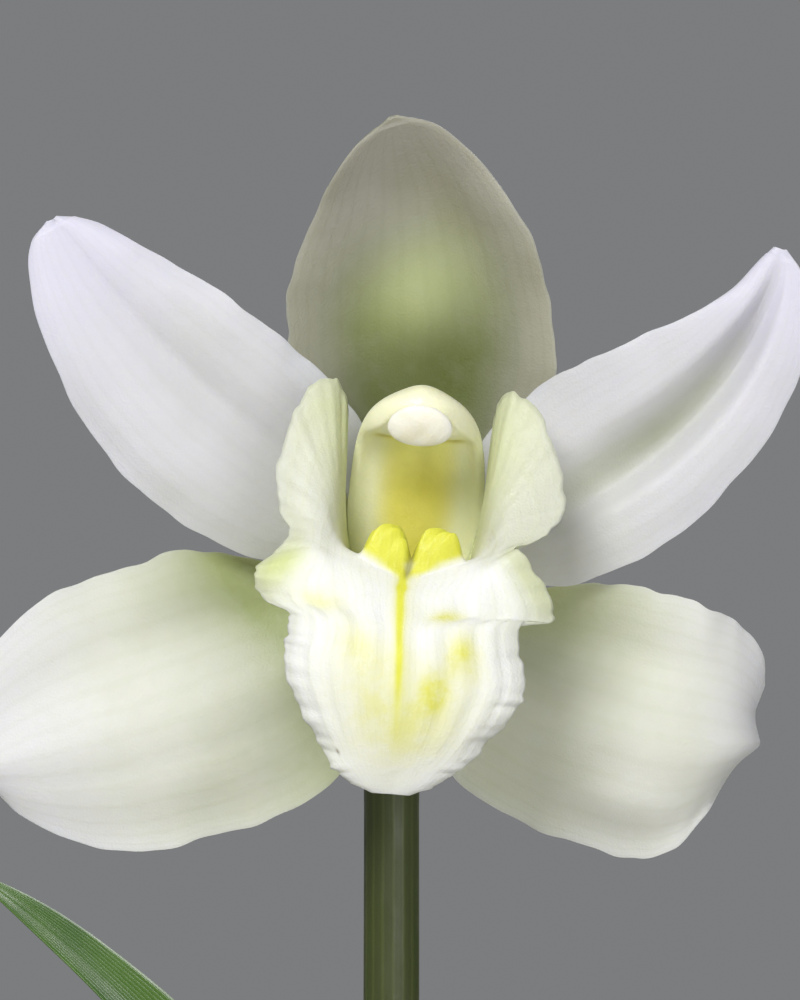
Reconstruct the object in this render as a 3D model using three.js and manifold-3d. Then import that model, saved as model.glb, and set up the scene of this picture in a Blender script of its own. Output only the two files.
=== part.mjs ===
// A potted cymbidium orchid: a clay pot of bark, three pseudobulbs with strap leaves,
// and one flower on an upright stalk. Millimetres, +Z up, the origin is the middle of the pot's foot,
// and the flower looks along -Y.
import * as THREE from "three";
import { mergeVertices } from "three/addons/utils/BufferGeometryUtils.js";
import Module from "manifold-3d";

const wasm = await Module();
wasm.setup();

// ---------------------------------------------------------------- driving dimensions

const GAP = 0.3; // left between two pieces that touch

const POT_HEIGHT = 112;
const POT_FOOT_RADIUS = 45;
const POT_RIM_RADIUS = 66;
const POT_WALL = 5.5;
const POT_FLOOR = 8;
const RIM_HEIGHT = 22;
const RIM_PROUD = 4;
const DRAIN_RADIUS = 5.5;
const DRAIN_RING = 25;
const DRAIN_COUNT = 3;
const POT_ROUND = 2; // taken off the pot's edges

const HEADSPACE = 14; // from the pot's lip down to the bark
const BARK_MOUND = 3;
const BARK_TOP = POT_HEIGHT - HEADSPACE;

const BULB_SINK = 9; // how deep a pseudobulb sits in the bark
const CLUMP_BORE = 57.875; // the bore's radius at the bark that the bulbs and roots below are laid out for
const BULBS = [
  { name: "pseudobulb_front", x: -7, y: -5, width: 28, depth: 23, height: 46 },
  { name: "pseudobulb_rear", x: 21, y: 25, width: 26, depth: 22, height: 43 },
  { name: "pseudobulb_old", x: -32, y: 22, width: 27, depth: 25, height: 39 },
];
const RHIZOME_RADIUS = 4.5;
const RHIZOME_DEPTH = 1; // from the bark's edge down to its axis
const RHIZOME_ARCH = 1.5;
const ROOT_RADIUS = 2.1;
const ROOT_START = 3; // how far inside the bulb's surface a root begins
const ROOT_RISE = 6; // and how high above the bark
const ROOT_DIVE = 7; // how far its tip goes down into the bark
// Each root leaves a bulb near the bark, arches over it and dives in. heading is in degrees from +X.
const ROOTS = [
  { bulb: 0, heading: 215, reach: 32, height: 9 },
  { bulb: 0, heading: 335, reach: 28, height: 7 },
  { bulb: 1, heading: 328, reach: 16, height: 8 },
  { bulb: 1, heading: 95, reach: 11, height: 7 },
  { bulb: 2, heading: 235, reach: 13, height: 8 },
];

const LEAF_WIDTH = 15;
const LEAF_THICKNESS = 1.1;
const LEAF_PITCH = 3.4; // between neighbouring leaves where they leave the bulb
const LEAF_TWIST = 38; // degrees that a blade's upper face turns to the front by its tip
const LEAF_FOOT = 0.62; // how broad a blade is at its foot, as a share of its width
const LEAF_TAPER = 0.55; // where along the blade it starts to narrow to its point
const LEAF_FOOT_FOLD = 0.14; // how steeply a blade folds at its foot, as a share of its width
const LEAF_FOLD = 0.3; // and further up
// ranks counts the leaves on each side of the middle one, turn swings the outermost pair round in
// degrees, and lean is how far back a leaf's tip stands.
const FRONT_FAN = { bulb: 0, ranks: 4, turn: -7, lean: -9 };
const REAR_FAN = { bulb: 1, ranks: 3, turn: 9, lean: 27 };
// One entry for each rank from the middle of a fan outwards. A blade tilts by tilt degrees in its lower
// half and by droop more towards its tip.
const LEAF_RANKS = [
  { length: 128, tilt: 3, droop: 10 },
  { length: 200, tilt: 19, droop: 44 },
  { length: 246, tilt: 31, droop: 66 },
  { length: 262, tilt: 43, droop: 78 },
  { length: 214, tilt: 56, droop: 84 },
];

const SCAPE_RADIUS = 3.9;
const SCAPE_OFFSET = [4, 1.5]; // where it starts: right of the front bulb's middle, and before its face
const SCAPE_RISE = 8; // and above the bark
const SCAPE_BOW = 26; // how far forward and up it heads as it leaves the bulb
const SCAPE_STRAIGHT = 90; // how far below the flower it is still aimed upright
const BRACT_THICKNESS = 0.8;
const BRACT_CLEARANCE = 0.6;
const BRACT_WRAP = [155, 12]; // degrees each way round the stalk, at its foot and at its tip
const BRACT_FLARE = 4; // how far its tip stands out
const BRACTS = [
  { at: 0.05, length: 28, turn: 20 },
  { at: 0.15, length: 36, turn: 190 },
  { at: 0.31, length: 40, turn: 40 },
  { at: 0.49, length: 42, turn: 215 },
  { at: 0.68, length: 40, turn: 10 },
];

const FLOWER_PLACE = [0, -62, 350]; // the point from which the petals spread
const FLOWER_ROLL = 4.5; // degrees, its top to the viewer's right
const OVARY_FOOT = [0.5, -22, -34];
const OVARY_RADIUS = 3.7;
const OVARY_SETBACK = 0.6; // from its head to the sepals' bases, which curve back beside it
const TEPAL_THICKNESS = 1.1;
const LIP_THICKNESS = 0.9;
const SEPAL_PLANE = -4.1; // how far forward the three sepals start
const PETAL_PLANE = -2.4; // and the two petals and the lip, which lie in front of them

// Sepals and petals, each along a spine from the flower's middle to its tip. width is its full
// breadth, broadest the share of the spine where it has it, claw its breadth at its base, cup how far
// its edges stand forward, and blunt how square its tip is.
const TEPALS = [
  {
    name: "dorsal_sepal",
    spine: [
      [0, SEPAL_PLANE, 2],
      [0.5, -9, 20],
      [-0.5, -5, 42],
      [-6.4, 7, 57],
    ],
    width: 35,
    broadest: 0.48,
    claw: 5,
    cup: 4.5,
    blunt: 1.65,
  },
  {
    name: "lateral_sepal_left",
    spine: [
      [-2.5, SEPAL_PLANE, -1.3],
      [-11, -6, -17],
      [-34, 5, -21],
      [-54, 2, -30],
    ],
    width: 37,
    broadest: 0.5,
    claw: 4.6,
    cup: 3.5,
    blunt: 2.2,
  },
  {
    name: "lateral_sepal_right",
    spine: [
      [2.5, SEPAL_PLANE, -1.3],
      [12, -6, -18],
      [36, 7, -21],
      [47.5, -9, -22.5],
    ],
    width: 33.5,
    broadest: 0.56,
    claw: 4.6,
    cup: 3,
    blunt: 3,
  },
  {
    name: "petal_left",
    spine: [
      [-1.8, PETAL_PLANE, 1],
      [-15, 1, 10],
      [-36, 9, 21],
      [-48.5, 8, 40.5],
    ],
    width: 27.5,
    broadest: 0.5,
    claw: 4.4,
    cup: 1.5,
    blunt: 1.4,
  },
  {
    name: "petal_right",
    spine: [
      [1.8, PETAL_PLANE, 1],
      [17, 1, 10.8],
      [38, 9, 19.2],
      [44, 8, 44],
    ],
    width: 25.6,
    broadest: 0.46,
    claw: 4.4,
    cup: 1.5,
    blunt: 1.3,
  },
];

// The lip, from its base forward and down to its tip. Each row gives its midline, the corner where
// its floor turns up, and its margin, on the right; the left mirrors it. The margins rise as two side
// lobes beside the column, stand out as two ears, and close round the hanging middle lobe.
const LIP_ROWS = [
  { middle: [0, PETAL_PLANE, -3.9], corner: [1.3, PETAL_PLANE, -3.8], margin: [2.6, PETAL_PLANE, -3.5] },
  { middle: [0, 4, -5], corner: [6.6, 4, -3.2], margin: [9.8, 2.4, 8] },
  { middle: [0, 10, -3.4], corner: [9.6, 9.5, 0.4], margin: [10.6, 8, 20.5] },
  { middle: [0, 16, -1], corner: [10, 15.5, 4], margin: [11.6, 13, 22.6] },
  { middle: [0, 19.5, 0], corner: [9.4, 19.2, 2.6], margin: [18.8, 17, 10.5] },
  { middle: [0, 22.5, -1], corner: [8.6, 22.5, 0.4], margin: [13.6, 21.5, 3.2] },
  { middle: [0, 25.2, -3.6], corner: [9, 25, -3.4], margin: [18.4, 22.5, -2.8] },
  { middle: [0, 27, -7.2], corner: [8, 26.8, -7.4], margin: [13.8, 25, -7.4] },
  { middle: [0, 28.2, -12], corner: [8.5, 27.5, -12.2], margin: [14.6, 24, -12] },
  { middle: [0, 28, -17.5], corner: [7.4, 27.2, -17.5], margin: [12.8, 23.6, -17] },
  { middle: [0, 26.6, -22], corner: [5, 26, -21.9], margin: [9, 23.2, -21.3] },
  { middle: [0, 24.6, -25.4], corner: [2.6, 24.4, -25.2], margin: [4.8, 23.4, -24.6] },
  { middle: [0, 23.2, -26.8], corner: [0.7, 23.2, -26.7], margin: [1.4, 23.1, -26.5] },
];

const CALLUS_HEIGHT = 2.4;
const CALLUS_SPAN = [0.1, 0.44]; // from and to, as shares of the lip's length
const CALLUS_PLACE = 0.17; // how far each keel stands from the midline, as a share of the half width
const CALLUS_WIDTH = 0.12;

const COLUMN_SPINE = [
  [0, 2, 0.4],
  [0.4, 3.4, 8],
  [0.7, 8, 18.8],
  [0.7, 20.5, 20.4],
];
const COLUMN_HALF_WIDTH = [4.8, 8.6]; // at its foot, and further up
const COLUMN_BACK = [3.4, 4]; // how far its back bulges, at its foot and at its tip
const COLUMN_EDGE = 0.9; // how far its edges stand forward
const COLUMN_HOLLOW = 2.6; // how deep the side that faces the lip is hollowed
const CAP_PLACE = [0.7, 21.4, 18.2];
const CAP_SIZE = [3.9, 2.5, 2.6]; // half its width, depth and height
const OVARY_RISE = 17; // how far it heads straight up from its foot
const OVARY_REACH = 13; // and straight forward into its head
// ---------------------------------------------------------------- geometry helpers

const { clamp, degToRad, lerp, smoothstep } = THREE.MathUtils;

// A point of the flower: right, towards the viewer, up.
const at = (u, v, w) => new THREE.Vector3(u, -v, w);

const bezier = (...points) => new THREE.CubicBezierCurve3(...points);

// A closed body through rings of points. The first half of a ring faces the second half, so that
// strips between the two halves close the ends.
function loft(rings) {
  const size = rings[0].length;
  const index = [];
  const quad = (a, b, c, d) => index.push(a, b, c, a, c, d);
  for (let i = 0; i + 1 < rings.length; i++) {
    for (let j = 0; j < size; j++) {
      const next = (j + 1) % size;
      quad(i * size + j, i * size + next, (i + 1) * size + next, (i + 1) * size + j);
    }
  }
  const last = (rings.length - 1) * size;
  for (let j = 0; j + 1 < size / 2; j++) {
    quad(j, size - 1 - j, size - 2 - j, j + 1);
    quad(last + j, last + j + 1, last + size - 2 - j, last + size - 1 - j);
  }
  const geometry = new THREE.BufferGeometry().setFromPoints(rings.flat());
  geometry.setIndex(index);
  return geometry;
}

// A thin plate along surface(t, s), where t runs from the base to the tip and s from -1 to 1 across.
// thickness(t, s) is measured across the plate, whose top is on the side of the surface's normal.
function plate(surface, { along, across, thickness, crowd = 0 }) {
  const step = 0.004;
  const rings = [];
  for (let i = 0; i <= along; i++) {
    const share = i / along;
    const t = lerp(share, Math.sin((share * Math.PI) / 2), crowd);
    const top = [];
    const bottom = [];
    for (let j = 0; j <= across; j++) {
      const s = lerp(-1, 1, j / across);
      const middle = surface(t, s);
      const t0 = clamp(t, 0, 1 - step);
      const s0 = clamp(s, -1, 1 - step);
      const forward = surface(t0 + step, s).sub(surface(t0, s));
      const sideways = surface(t, s0 + step).sub(surface(t, s0));
      const normal = forward.cross(sideways).normalize();
      const half = thickness(t, s) / 2;
      top.push(middle.clone().addScaledVector(normal, half));
      bottom.push(middle.clone().addScaledVector(normal, -half));
    }
    rings.push([...top.reverse(), ...bottom]);
  }
  return loft(rings);
}

// A round or lobed rod along a curve.
function rod(curve, { steps, sides, radius, lobe = () => 1 }) {
  const frames = curve.computeFrenetFrames(steps, false);
  const rings = [];
  for (let i = 0; i <= steps; i++) {
    const t = i / steps;
    const centre = curve.getPointAt(t);
    const ring = [];
    for (let j = 0; j < sides; j++) {
      const angle = (j / sides) * Math.PI * 2;
      const reach = radius(t) * lobe(angle);
      ring.push(
        centre
          .clone()
          .addScaledVector(frames.normals[i], Math.cos(angle) * reach)
          .addScaledVector(frames.binormals[i], Math.sin(angle) * reach),
      );
    }
    rings.push(ring);
  }
  return loft(rings);
}

// A turned body from its outline, given as [radius, height] from the bottom to the top.
function turned(outline, segments) {
  const points = outline.map(([r, z]) => new THREE.Vector2(r, z));
  return new THREE.LatheGeometry(points, segments).rotateX(Math.PI / 2);
}

function toSolid(geometry) {
  const bare = geometry.clone();
  bare.deleteAttribute("normal");
  bare.deleteAttribute("uv");
  const merged = mergeVertices(bare, 1e-4);
  return new wasm.Manifold(
    new wasm.Mesh({
      numProp: 3,
      vertProperties: new Float32Array(merged.attributes.position.array),
      triVerts: new Uint32Array(merged.index.array),
    }),
  );
}

function toGeometry(solid) {
  const mesh = solid.getMesh();
  const geometry = new THREE.BufferGeometry();
  geometry.setAttribute("position", new THREE.BufferAttribute(mesh.vertProperties, 3));
  geometry.setIndex(new THREE.BufferAttribute(mesh.triVerts, 1));
  return geometry;
}

// What is left of a geometry once the others are cut out of it.
function without(geometry, others) {
  const kept = others.reduce((solid, other) => solid.subtract(toSolid(other)), toSolid(geometry));
  return toGeometry(kept);
}

const material = (color, roughness) =>
  new THREE.MeshStandardMaterial({ color, roughness, metalness: 0 });

const CLAY = material(0xb5633f, 0.9);
const BARK = material(0x5b3d28, 0.95);
const BULB_GREEN = material(0x7d9350, 0.55);
const OLD_BULB = material(0x8a8a56, 0.7);
const ROOT_WHITE = material(0xc9c4ac, 0.8);
const LEAF_GREEN = material(0x3f6b2c, 0.4);
const STALK_GREEN = material(0x6d7b3c, 0.5);
const BRACT_GREEN = material(0x93a468, 0.6);
const SEPAL_WHITE = material(0xe4e4d2, 0.5);
const PETAL_WHITE = material(0xf0efe9, 0.5);
const LIP_WHITE = material(0xf6f5e2, 0.5);
const COLUMN_YELLOW = material(0xe2dc8c, 0.45);
const CAP_CREAM = material(0xfbf6e4, 0.4);

const orchid = new THREE.Group();
const flower = new THREE.Group();
flower.position.set(...FLOWER_PLACE);
flower.rotation.y = degToRad(FLOWER_ROLL);
flower.updateMatrix();
orchid.add(flower);

function piece(name, geometry, look, parent = orchid) {
  const mesh = new THREE.Mesh(geometry, look);
  mesh.name = name;
  parent.add(mesh);
}

// ---------------------------------------------------------------- pot

// The pot's outer radius at a height, rim left out.
const potRadius = (z) => lerp(POT_FOOT_RADIUS, POT_RIM_RADIUS, z / POT_HEIGHT);
const boreRadius = (z) => potRadius(z) - POT_WALL;

function makePot() {
  const rimFoot = POT_HEIGHT - RIM_HEIGHT;
  const outline = [
    [0, 0],
    [POT_FOOT_RADIUS - POT_ROUND, 0],
    [POT_FOOT_RADIUS, POT_ROUND],
    [potRadius(rimFoot), rimFoot],
    [potRadius(rimFoot) + RIM_PROUD, rimFoot + POT_ROUND],
    [POT_RIM_RADIUS + RIM_PROUD, POT_HEIGHT - POT_ROUND],
    [POT_RIM_RADIUS + RIM_PROUD - POT_ROUND, POT_HEIGHT],
    [boreRadius(POT_HEIGHT) + POT_ROUND, POT_HEIGHT],
    [boreRadius(POT_HEIGHT), POT_HEIGHT - POT_ROUND],
    [boreRadius(POT_FLOOR), POT_FLOOR],
    [0, POT_FLOOR],
  ];
  const holes = [];
  for (let i = 0; i < DRAIN_COUNT; i++) {
    const angle = (i / DRAIN_COUNT) * Math.PI * 2 + Math.PI / 2;
    const hole = new THREE.CylinderGeometry(DRAIN_RADIUS, DRAIN_RADIUS, POT_FLOOR * 3, 12);
    hole.rotateX(Math.PI / 2);
    hole.translate(Math.cos(angle) * DRAIN_RING, Math.sin(angle) * DRAIN_RING, 0);
    holes.push(hole);
  }
  return without(turned(outline, 36), holes);
}

// ---------------------------------------------------------------- pseudobulbs, rhizome and roots

const bulbBottom = BARK_TOP - BULB_SINK;

// Bulbs and roots spread as wide as the bore lets them.
const spread = boreRadius(BARK_TOP) / CLUMP_BORE;
const bulbPlace = (bulb) => new THREE.Vector3(bulb.x * spread, bulb.y * spread, 0);

// The share of a bulb's full width at a share of its height: a pear shape, broad below.
const bulbShare = (share) => Math.sin(Math.PI * share ** 0.72) ** 0.62;

// A bulb grown outwards by extra, in place.
function bulbBody(bulb, extra) {
  const outline = [];
  const rows = 10;
  for (let i = 0; i <= rows; i++) {
    const share = (1 - Math.cos((i / rows) * Math.PI)) / 2;
    const inside = i > 0 && i < rows;
    const z = bulb.height * share + (i === 0 ? -extra : 0) + (i === rows ? extra : 0);
    outline.push([inside ? (bulb.width / 2) * bulbShare(share) + extra : 0, z]);
  }
  const squash = (bulb.depth / 2 + extra) / (bulb.width / 2 + extra);
  const { x, y } = bulbPlace(bulb);
  return turned(outline, 20).scale(1, squash, 1).translate(x, y, bulbBottom);
}

// A bulb's half width at a height above its bottom.
const bulbHalfWidth = (bulb, height) => (bulb.width / 2) * bulbShare(height / bulb.height);

const rhizomeLevel = BARK_TOP - RHIZOME_DEPTH;

// The rhizome creeps from one bulb to the next, half in the bark.
function rhizomeCurve(from, to) {
  const a = bulbPlace(from).setZ(rhizomeLevel);
  const b = bulbPlace(to).setZ(rhizomeLevel);
  const crest = a.clone().lerp(b, 0.5).setZ(rhizomeLevel + RHIZOME_ARCH);
  return new THREE.QuadraticBezierCurve3(a, crest, b);
}

const RHIZOMES = [
  { name: "rhizome_left", curve: rhizomeCurve(BULBS[2], BULBS[0]) },
  { name: "rhizome_right", curve: rhizomeCurve(BULBS[0], BULBS[1]) },
];

function rootCurve(root) {
  const bulb = BULBS[root.bulb];
  const angle = degToRad(root.heading);
  const out = new THREE.Vector3(Math.cos(angle), Math.sin(angle), 0);
  const centre = bulbPlace(bulb);
  const point = (distance, z) => centre.clone().addScaledVector(out, distance).setZ(z);
  const start = bulb.depth / 2 - ROOT_START;
  const reach = root.reach * spread;
  return bezier(
    point(start, BARK_TOP + ROOT_RISE),
    point(start + reach * 0.45, BARK_TOP + ROOT_RISE + 2 + root.height),
    point(start + reach, BARK_TOP + root.height),
    point(start + reach + ROOT_START, BARK_TOP - ROOT_DIVE),
  );
}

const rootBody = (root, extra) =>
  rod(rootCurve(root), { steps: 9, sides: 8, radius: (t) => ROOT_RADIUS * (1 - 0.15 * t) + extra });

const rhizomeBody = (rhizome, extra) =>
  rod(rhizome.curve, { steps: 5, sides: 8, radius: () => RHIZOME_RADIUS + extra });

// ---------------------------------------------------------------- bark

function makeBark() {
  const floor = POT_FLOOR + GAP;
  const outline = [
    [0, floor],
    [boreRadius(floor) - GAP, floor],
    [boreRadius(BARK_TOP) - GAP, BARK_TOP],
    [boreRadius(BARK_TOP) * 0.6, BARK_TOP + BARK_MOUND * 0.7],
    [0, BARK_TOP + BARK_MOUND],
  ];
  const pockets = [
    ...BULBS.map((bulb) => bulbBody(bulb, GAP)),
    ...RHIZOMES.map((rhizome) => rhizomeBody(rhizome, GAP)),
    ...ROOTS.map((root) => rootBody(root, GAP)),
  ];
  return without(turned(outline, 32), pockets);
}

// ---------------------------------------------------------------- leaves

// Narrow where it clasps the bulb, parallel along the blade, drawn out to a point.
function leafHalfWidth(t) {
  const foot = lerp(LEAF_FOOT, 1, smoothstep(t, 0, 0.35));
  const taper = clamp((t - LEAF_TAPER) / (1 - LEAF_TAPER), 0, 1);
  return (LEAF_WIDTH / 2) * foot * Math.max((1 - taper ** 2.2) ** 0.75, 0.05);
}

// The midrib of a leaf in the fan's plane: points with their distance out from the bulb's middle,
// their height, and how far from upright the leaf runs there, in radians.
function midrib(bulb, rank) {
  const { length, tilt: lean, droop } = LEAF_RANKS[rank];
  const out = rank * LEAF_PITCH;
  const inside = out - GAP - LEAF_THICKNESS / 2;
  // Down the bulb's shoulder to where it is as broad as this leaf's place needs.
  let seat = bulb.height;
  while (rank > 0 && seat > 0 && bulbHalfWidth(bulb, seat) < inside) {
    seat -= 0.05;
  }
  const points = [];
  const steps = 60;
  let x = out;
  let z = bulbBottom + seat + (rank === 0 ? 2 * GAP : GAP);
  for (let i = 0; i <= steps; i++) {
    const t = i / steps;
    const tilt = degToRad(lean * smoothstep(t, 0, 0.45) + droop * t ** 1.8);
    points.push({ x, z, tilt });
    x += (Math.sin(tilt) * length) / steps;
    z += (Math.cos(tilt) * length) / steps;
  }
  return (t) => {
    const place = Math.min(t * steps, steps - 1e-6);
    const i = Math.floor(place);
    const between = (key) => lerp(points[i][key], points[i + 1][key], place - i);
    return { x: between("x"), z: between("z"), tilt: between("tilt") };
  };
}

// A fan's leaves stand in two rows, left and right of a middle leaf, each leaning further out
// than the one inside it. side is -1 on the left and 1 on the right.
function leafSurface(fan, side, rank) {
  const bulb = BULBS[fan.bulb];
  const place = bulbPlace(bulb);
  const rib = midrib(bulb, rank);
  const turn = degToRad(fan.turn * (rank / fan.ranks));
  return (t, s) => {
    const { x, z, tilt } = rib(t);
    const half = leafHalfWidth(t);
    const fold = lerp(LEAF_FOOT_FOLD, LEAF_FOLD, smoothstep(t, 0.1, 0.3)) * (1 - 0.5 * t);
    const twist = degToRad(LEAF_TWIST * smoothstep(t, 0.25, 1));
    // Both edges stand above the midrib, and the twist lifts the back one and lowers the front one.
    const rise = half * (Math.abs(s) * fold * Math.cos(twist) + s * Math.sin(twist));
    const out = x - Math.cos(tilt) * rise;
    const back = fan.lean * t * t + s * half * Math.cos(twist);
    return new THREE.Vector3(
      place.x + side * (out * Math.cos(turn) - back * Math.sin(turn) * t),
      place.y + back + out * Math.sin(turn) * t,
      z + Math.sin(tilt) * rise,
    );
  };
}

function addFan(fan, first) {
  let number = first;
  for (let rank = 0; rank <= fan.ranks; rank++) {
    for (const side of rank === 0 ? [1] : [-1, 1]) {
      const surface = leafSurface(fan, side, rank);
      const blade = plate(side > 0 ? surface : (t, s) => surface(t, -s), {
        along: 14,
        across: 2,
        thickness: () => LEAF_THICKNESS,
        crowd: 0.3,
      });
      piece("leaf_" + String(number).padStart(2, "0"), blade, LEAF_GREEN);
      number += 1;
    }
  }
  return number;
}

// ---------------------------------------------------------------- flower stalk

const ovaryFoot = at(...OVARY_FOOT).applyMatrix4(flower.matrix);

function scapeCurve() {
  const bulb = BULBS[0];
  const start = bulbPlace(bulb).setZ(BARK_TOP + SCAPE_RISE);
  start.x += SCAPE_OFFSET[0];
  start.y -= bulb.depth / 2 + SCAPE_OFFSET[1];
  const top = ovaryFoot.clone();
  top.z -= GAP;
  return bezier(
    start,
    new THREE.Vector3(start.x, start.y - SCAPE_BOW, start.z + SCAPE_BOW),
    new THREE.Vector3(top.x, top.y, top.z - SCAPE_STRAIGHT),
    top,
  );
}

const SCAPE = scapeCurve();
const scapeRadius = (t) => SCAPE_RADIUS * lerp(1.1, 0.98, t);

// A bract is a leafy sheath wrapped round the stalk, open on one side, with a pointed tip that
// stands a little away from it.
function bractSurface(bract) {
  const frames = SCAPE.computeFrenetFrames(100, false);
  const share = bract.length / SCAPE.getLength();
  return (t, s) => {
    const along = Math.min(bract.at + share * t, 1);
    const i = Math.min(Math.round(along * 100), 100);
    const wrap = lerp(BRACT_WRAP[0], BRACT_WRAP[1], smoothstep(t, 0.15, 1) ** 1.2);
    const angle = degToRad(bract.turn + s * wrap);
    const flare = BRACT_FLARE * smoothstep(t, 0.35, 1);
    const reach = scapeRadius(along) + BRACT_CLEARANCE + BRACT_THICKNESS / 2 + flare;
    return SCAPE.getPointAt(along)
      .addScaledVector(frames.normals[i], Math.cos(angle) * reach)
      .addScaledVector(frames.binormals[i], Math.sin(angle) * reach);
  };
}

// ---------------------------------------------------------------- flower

// A sepal or petal: its spine is a curve, its outline swells to its broadest place and rounds off,
// and its edges stand forward of its spine by cup.
function tepal({ spine, width, broadest, claw, cup, blunt }) {
  const curve = bezier(...spine.map((p) => at(...p)));
  const viewer = at(0, 1, 0);
  const surface = (t, s) => {
    const tangent = curve.getTangent(t);
    const facing = viewer.clone().addScaledVector(tangent, -viewer.dot(tangent)).normalize();
    const sideways = tangent.clone().cross(facing);
    const half =
      t < broadest
        ? lerp(claw / 2, width / 2, Math.sin(((t / broadest) * Math.PI) / 2))
        : (width / 2) * Math.sqrt(Math.max(1 - ((t - broadest) / (1 - broadest)) ** blunt, 0.001));
    const forward = cup * (half / (width / 2)) ** 2 * s * s;
    return curve
      .getPoint(t)
      .addScaledVector(sideways, s * half)
      .addScaledVector(facing, forward);
  };
  const thickness = (t, s) => TEPAL_THICKNESS * (1 - 0.35 * s * s);
  return plate((t, s) => surface(t, -s), { along: 11, across: 8, thickness, crowd: 1 });
}

function lipSurface() {
  const mirrored = ([u, v, w]) => [-u, v, w];
  const rails = [
    LIP_ROWS.map((row) => mirrored(row.margin)),
    LIP_ROWS.map((row) => mirrored(row.corner)),
    LIP_ROWS.map((row) => row.middle),
    LIP_ROWS.map((row) => row.corner),
    LIP_ROWS.map((row) => row.margin),
  ].map((rail) => new THREE.CatmullRomCurve3(rail.map((p) => at(...p)), false, "centripetal"));
  return (t, s) => {
    const section = rails.map((rail) => rail.getPoint(t));
    return new THREE.CatmullRomCurve3(section, false, "centripetal").getPoint((s + 1) / 2);
  };
}

// Two fleshy keels run along the lip's floor and end in the yellow pads in front of the column.
function lipThickness(t, s) {
  const along = smoothstep(t, CALLUS_SPAN[0], 0.2) * (1 - smoothstep(t, 0.38, CALLUS_SPAN[1]));
  const across = Math.exp(-(((Math.abs(s) - CALLUS_PLACE) / CALLUS_WIDTH) ** 2));
  return LIP_THICKNESS + CALLUS_HEIGHT * along * across;
}

// The column arches up and forward over the lip, hollowed on the side that faces it.
const columnCurve = bezier(...COLUMN_SPINE.map((p) => at(...p)));

function columnBody(extra) {
  const rings = [];
  const steps = 16;
  const half = 10; // points along each face of a section
  for (let i = 0; i <= steps; i++) {
    const t = Math.sin(((i / steps) * Math.PI) / 2);
    const tangent = columnCurve.getTangent(t);
    const belly = new THREE.Vector3(1, 0, 0).cross(tangent).normalize();
    const close = Math.sqrt(Math.max(1 - t ** 5, 0.006));
    const wide = lerp(...COLUMN_HALF_WIDTH, smoothstep(t, 0, 0.4)) * close + extra;
    const thick = lerp(...COLUMN_BACK, t) * close + extra;
    const dish = COLUMN_HOLLOW * smoothstep(t, 0.1, 0.4) * (1 - smoothstep(t, 0.8, 0.97)) * close;
    const lift = (across) => Math.sqrt(Math.max(1 - across * across, 0));
    const ring = [];
    for (let j = 0; j <= half; j++) {
      const across = Math.cos((j / half) * Math.PI);
      ring.push([across * wide, -thick * lift(across)]);
    }
    for (let j = 1; j < half; j++) {
      const across = -Math.cos((j / half) * Math.PI);
      const floor = extra + (COLUMN_EDGE * close - dish) * lift(across) ** 0.8;
      ring.push([across * wide, floor]);
    }
    const centre = columnCurve.getPoint(t);
    rings.push(
      ring.map(([u, n]) => centre.clone().add(new THREE.Vector3(u, 0, 0)).addScaledVector(belly, n)),
    );
  }
  return loft(rings);
}

// The anther cap closes the column's tip.
function antherCap() {
  const cap = new THREE.SphereGeometry(1, 16, 10).scale(...CAP_SIZE);
  cap.translate(...at(...CAP_PLACE));
  return without(cap, [columnBody(GAP)]);
}

// The ovary is the thick ribbed end of the stalk, which bends forward to carry the flower. It leaves
// the stalk upright, however far the flower is rolled, so that the two ends stay square to each other.
function ovaryBody() {
  const foot = at(...OVARY_FOOT);
  const up = new THREE.Vector3(0, 0, 1).applyQuaternion(flower.quaternion.clone().invert());
  const head = at(0, SEPAL_PLANE - TEPAL_THICKNESS / 2 - OVARY_SETBACK, 0);
  const curve = bezier(
    foot,
    foot.clone().addScaledVector(up, OVARY_RISE),
    head.clone().add(new THREE.Vector3(0, OVARY_REACH, 0)),
    head,
  );
  return rod(curve, {
    steps: 12,
    sides: 12,
    radius: (t) => lerp(SCAPE_RADIUS * 0.94, OVARY_RADIUS, t) * (1 + 0.1 * Math.sin(Math.PI * t)),
    lobe: (angle) => 1 + 0.07 * Math.cos(3 * angle),
  });
}

// ---------------------------------------------------------------- assembly

piece("pot", makePot(), CLAY);
piece("bark_mix", makeBark(), BARK);
BULBS.forEach((bulb) =>
  piece(bulb.name, bulbBody(bulb, 0), bulb === BULBS[2] ? OLD_BULB : BULB_GREEN),
);
for (const rhizome of RHIZOMES) {
  const bulbs = BULBS.map((bulb) => bulbBody(bulb, GAP));
  piece(rhizome.name, without(rhizomeBody(rhizome, 0), bulbs), OLD_BULB);
}
ROOTS.forEach((root, i) => {
  const bulb = bulbBody(BULBS[root.bulb], GAP);
  piece("root_" + (i + 1), without(rootBody(root, 0), [bulb]), ROOT_WHITE);
});

const frontLeaves = addFan(FRONT_FAN, 1);
addFan(REAR_FAN, frontLeaves);

const scapeBody = rod(SCAPE, { steps: 20, sides: 10, radius: scapeRadius });
piece("flower_stalk", without(scapeBody, [bulbBody(BULBS[0], GAP)]), STALK_GREEN);
BRACTS.forEach((bract, i) => {
  const geometry = plate((t, s) => bractSurface(bract)(t, -s), {
    along: 7,
    across: 8,
    thickness: () => BRACT_THICKNESS,
  });
  piece("stalk_bract_" + (i + 1), geometry, BRACT_GREEN);
});

piece("ovary", ovaryBody(), STALK_GREEN, flower);
for (const spec of TEPALS) {
  const look = spec.name.startsWith("petal") ? PETAL_WHITE : SEPAL_WHITE;
  piece(spec.name, tepal(spec), look, flower);
}
const lip = lipSurface();
const lipPlate = plate((t, s) => lip(t, -s), { along: 26, across: 14, thickness: lipThickness });
piece("lip", lipPlate, LIP_WHITE, flower);
piece("column", columnBody(0), COLUMN_YELLOW, flower);
piece("anther_cap", antherCap(), CAP_CREAM, flower);

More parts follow.
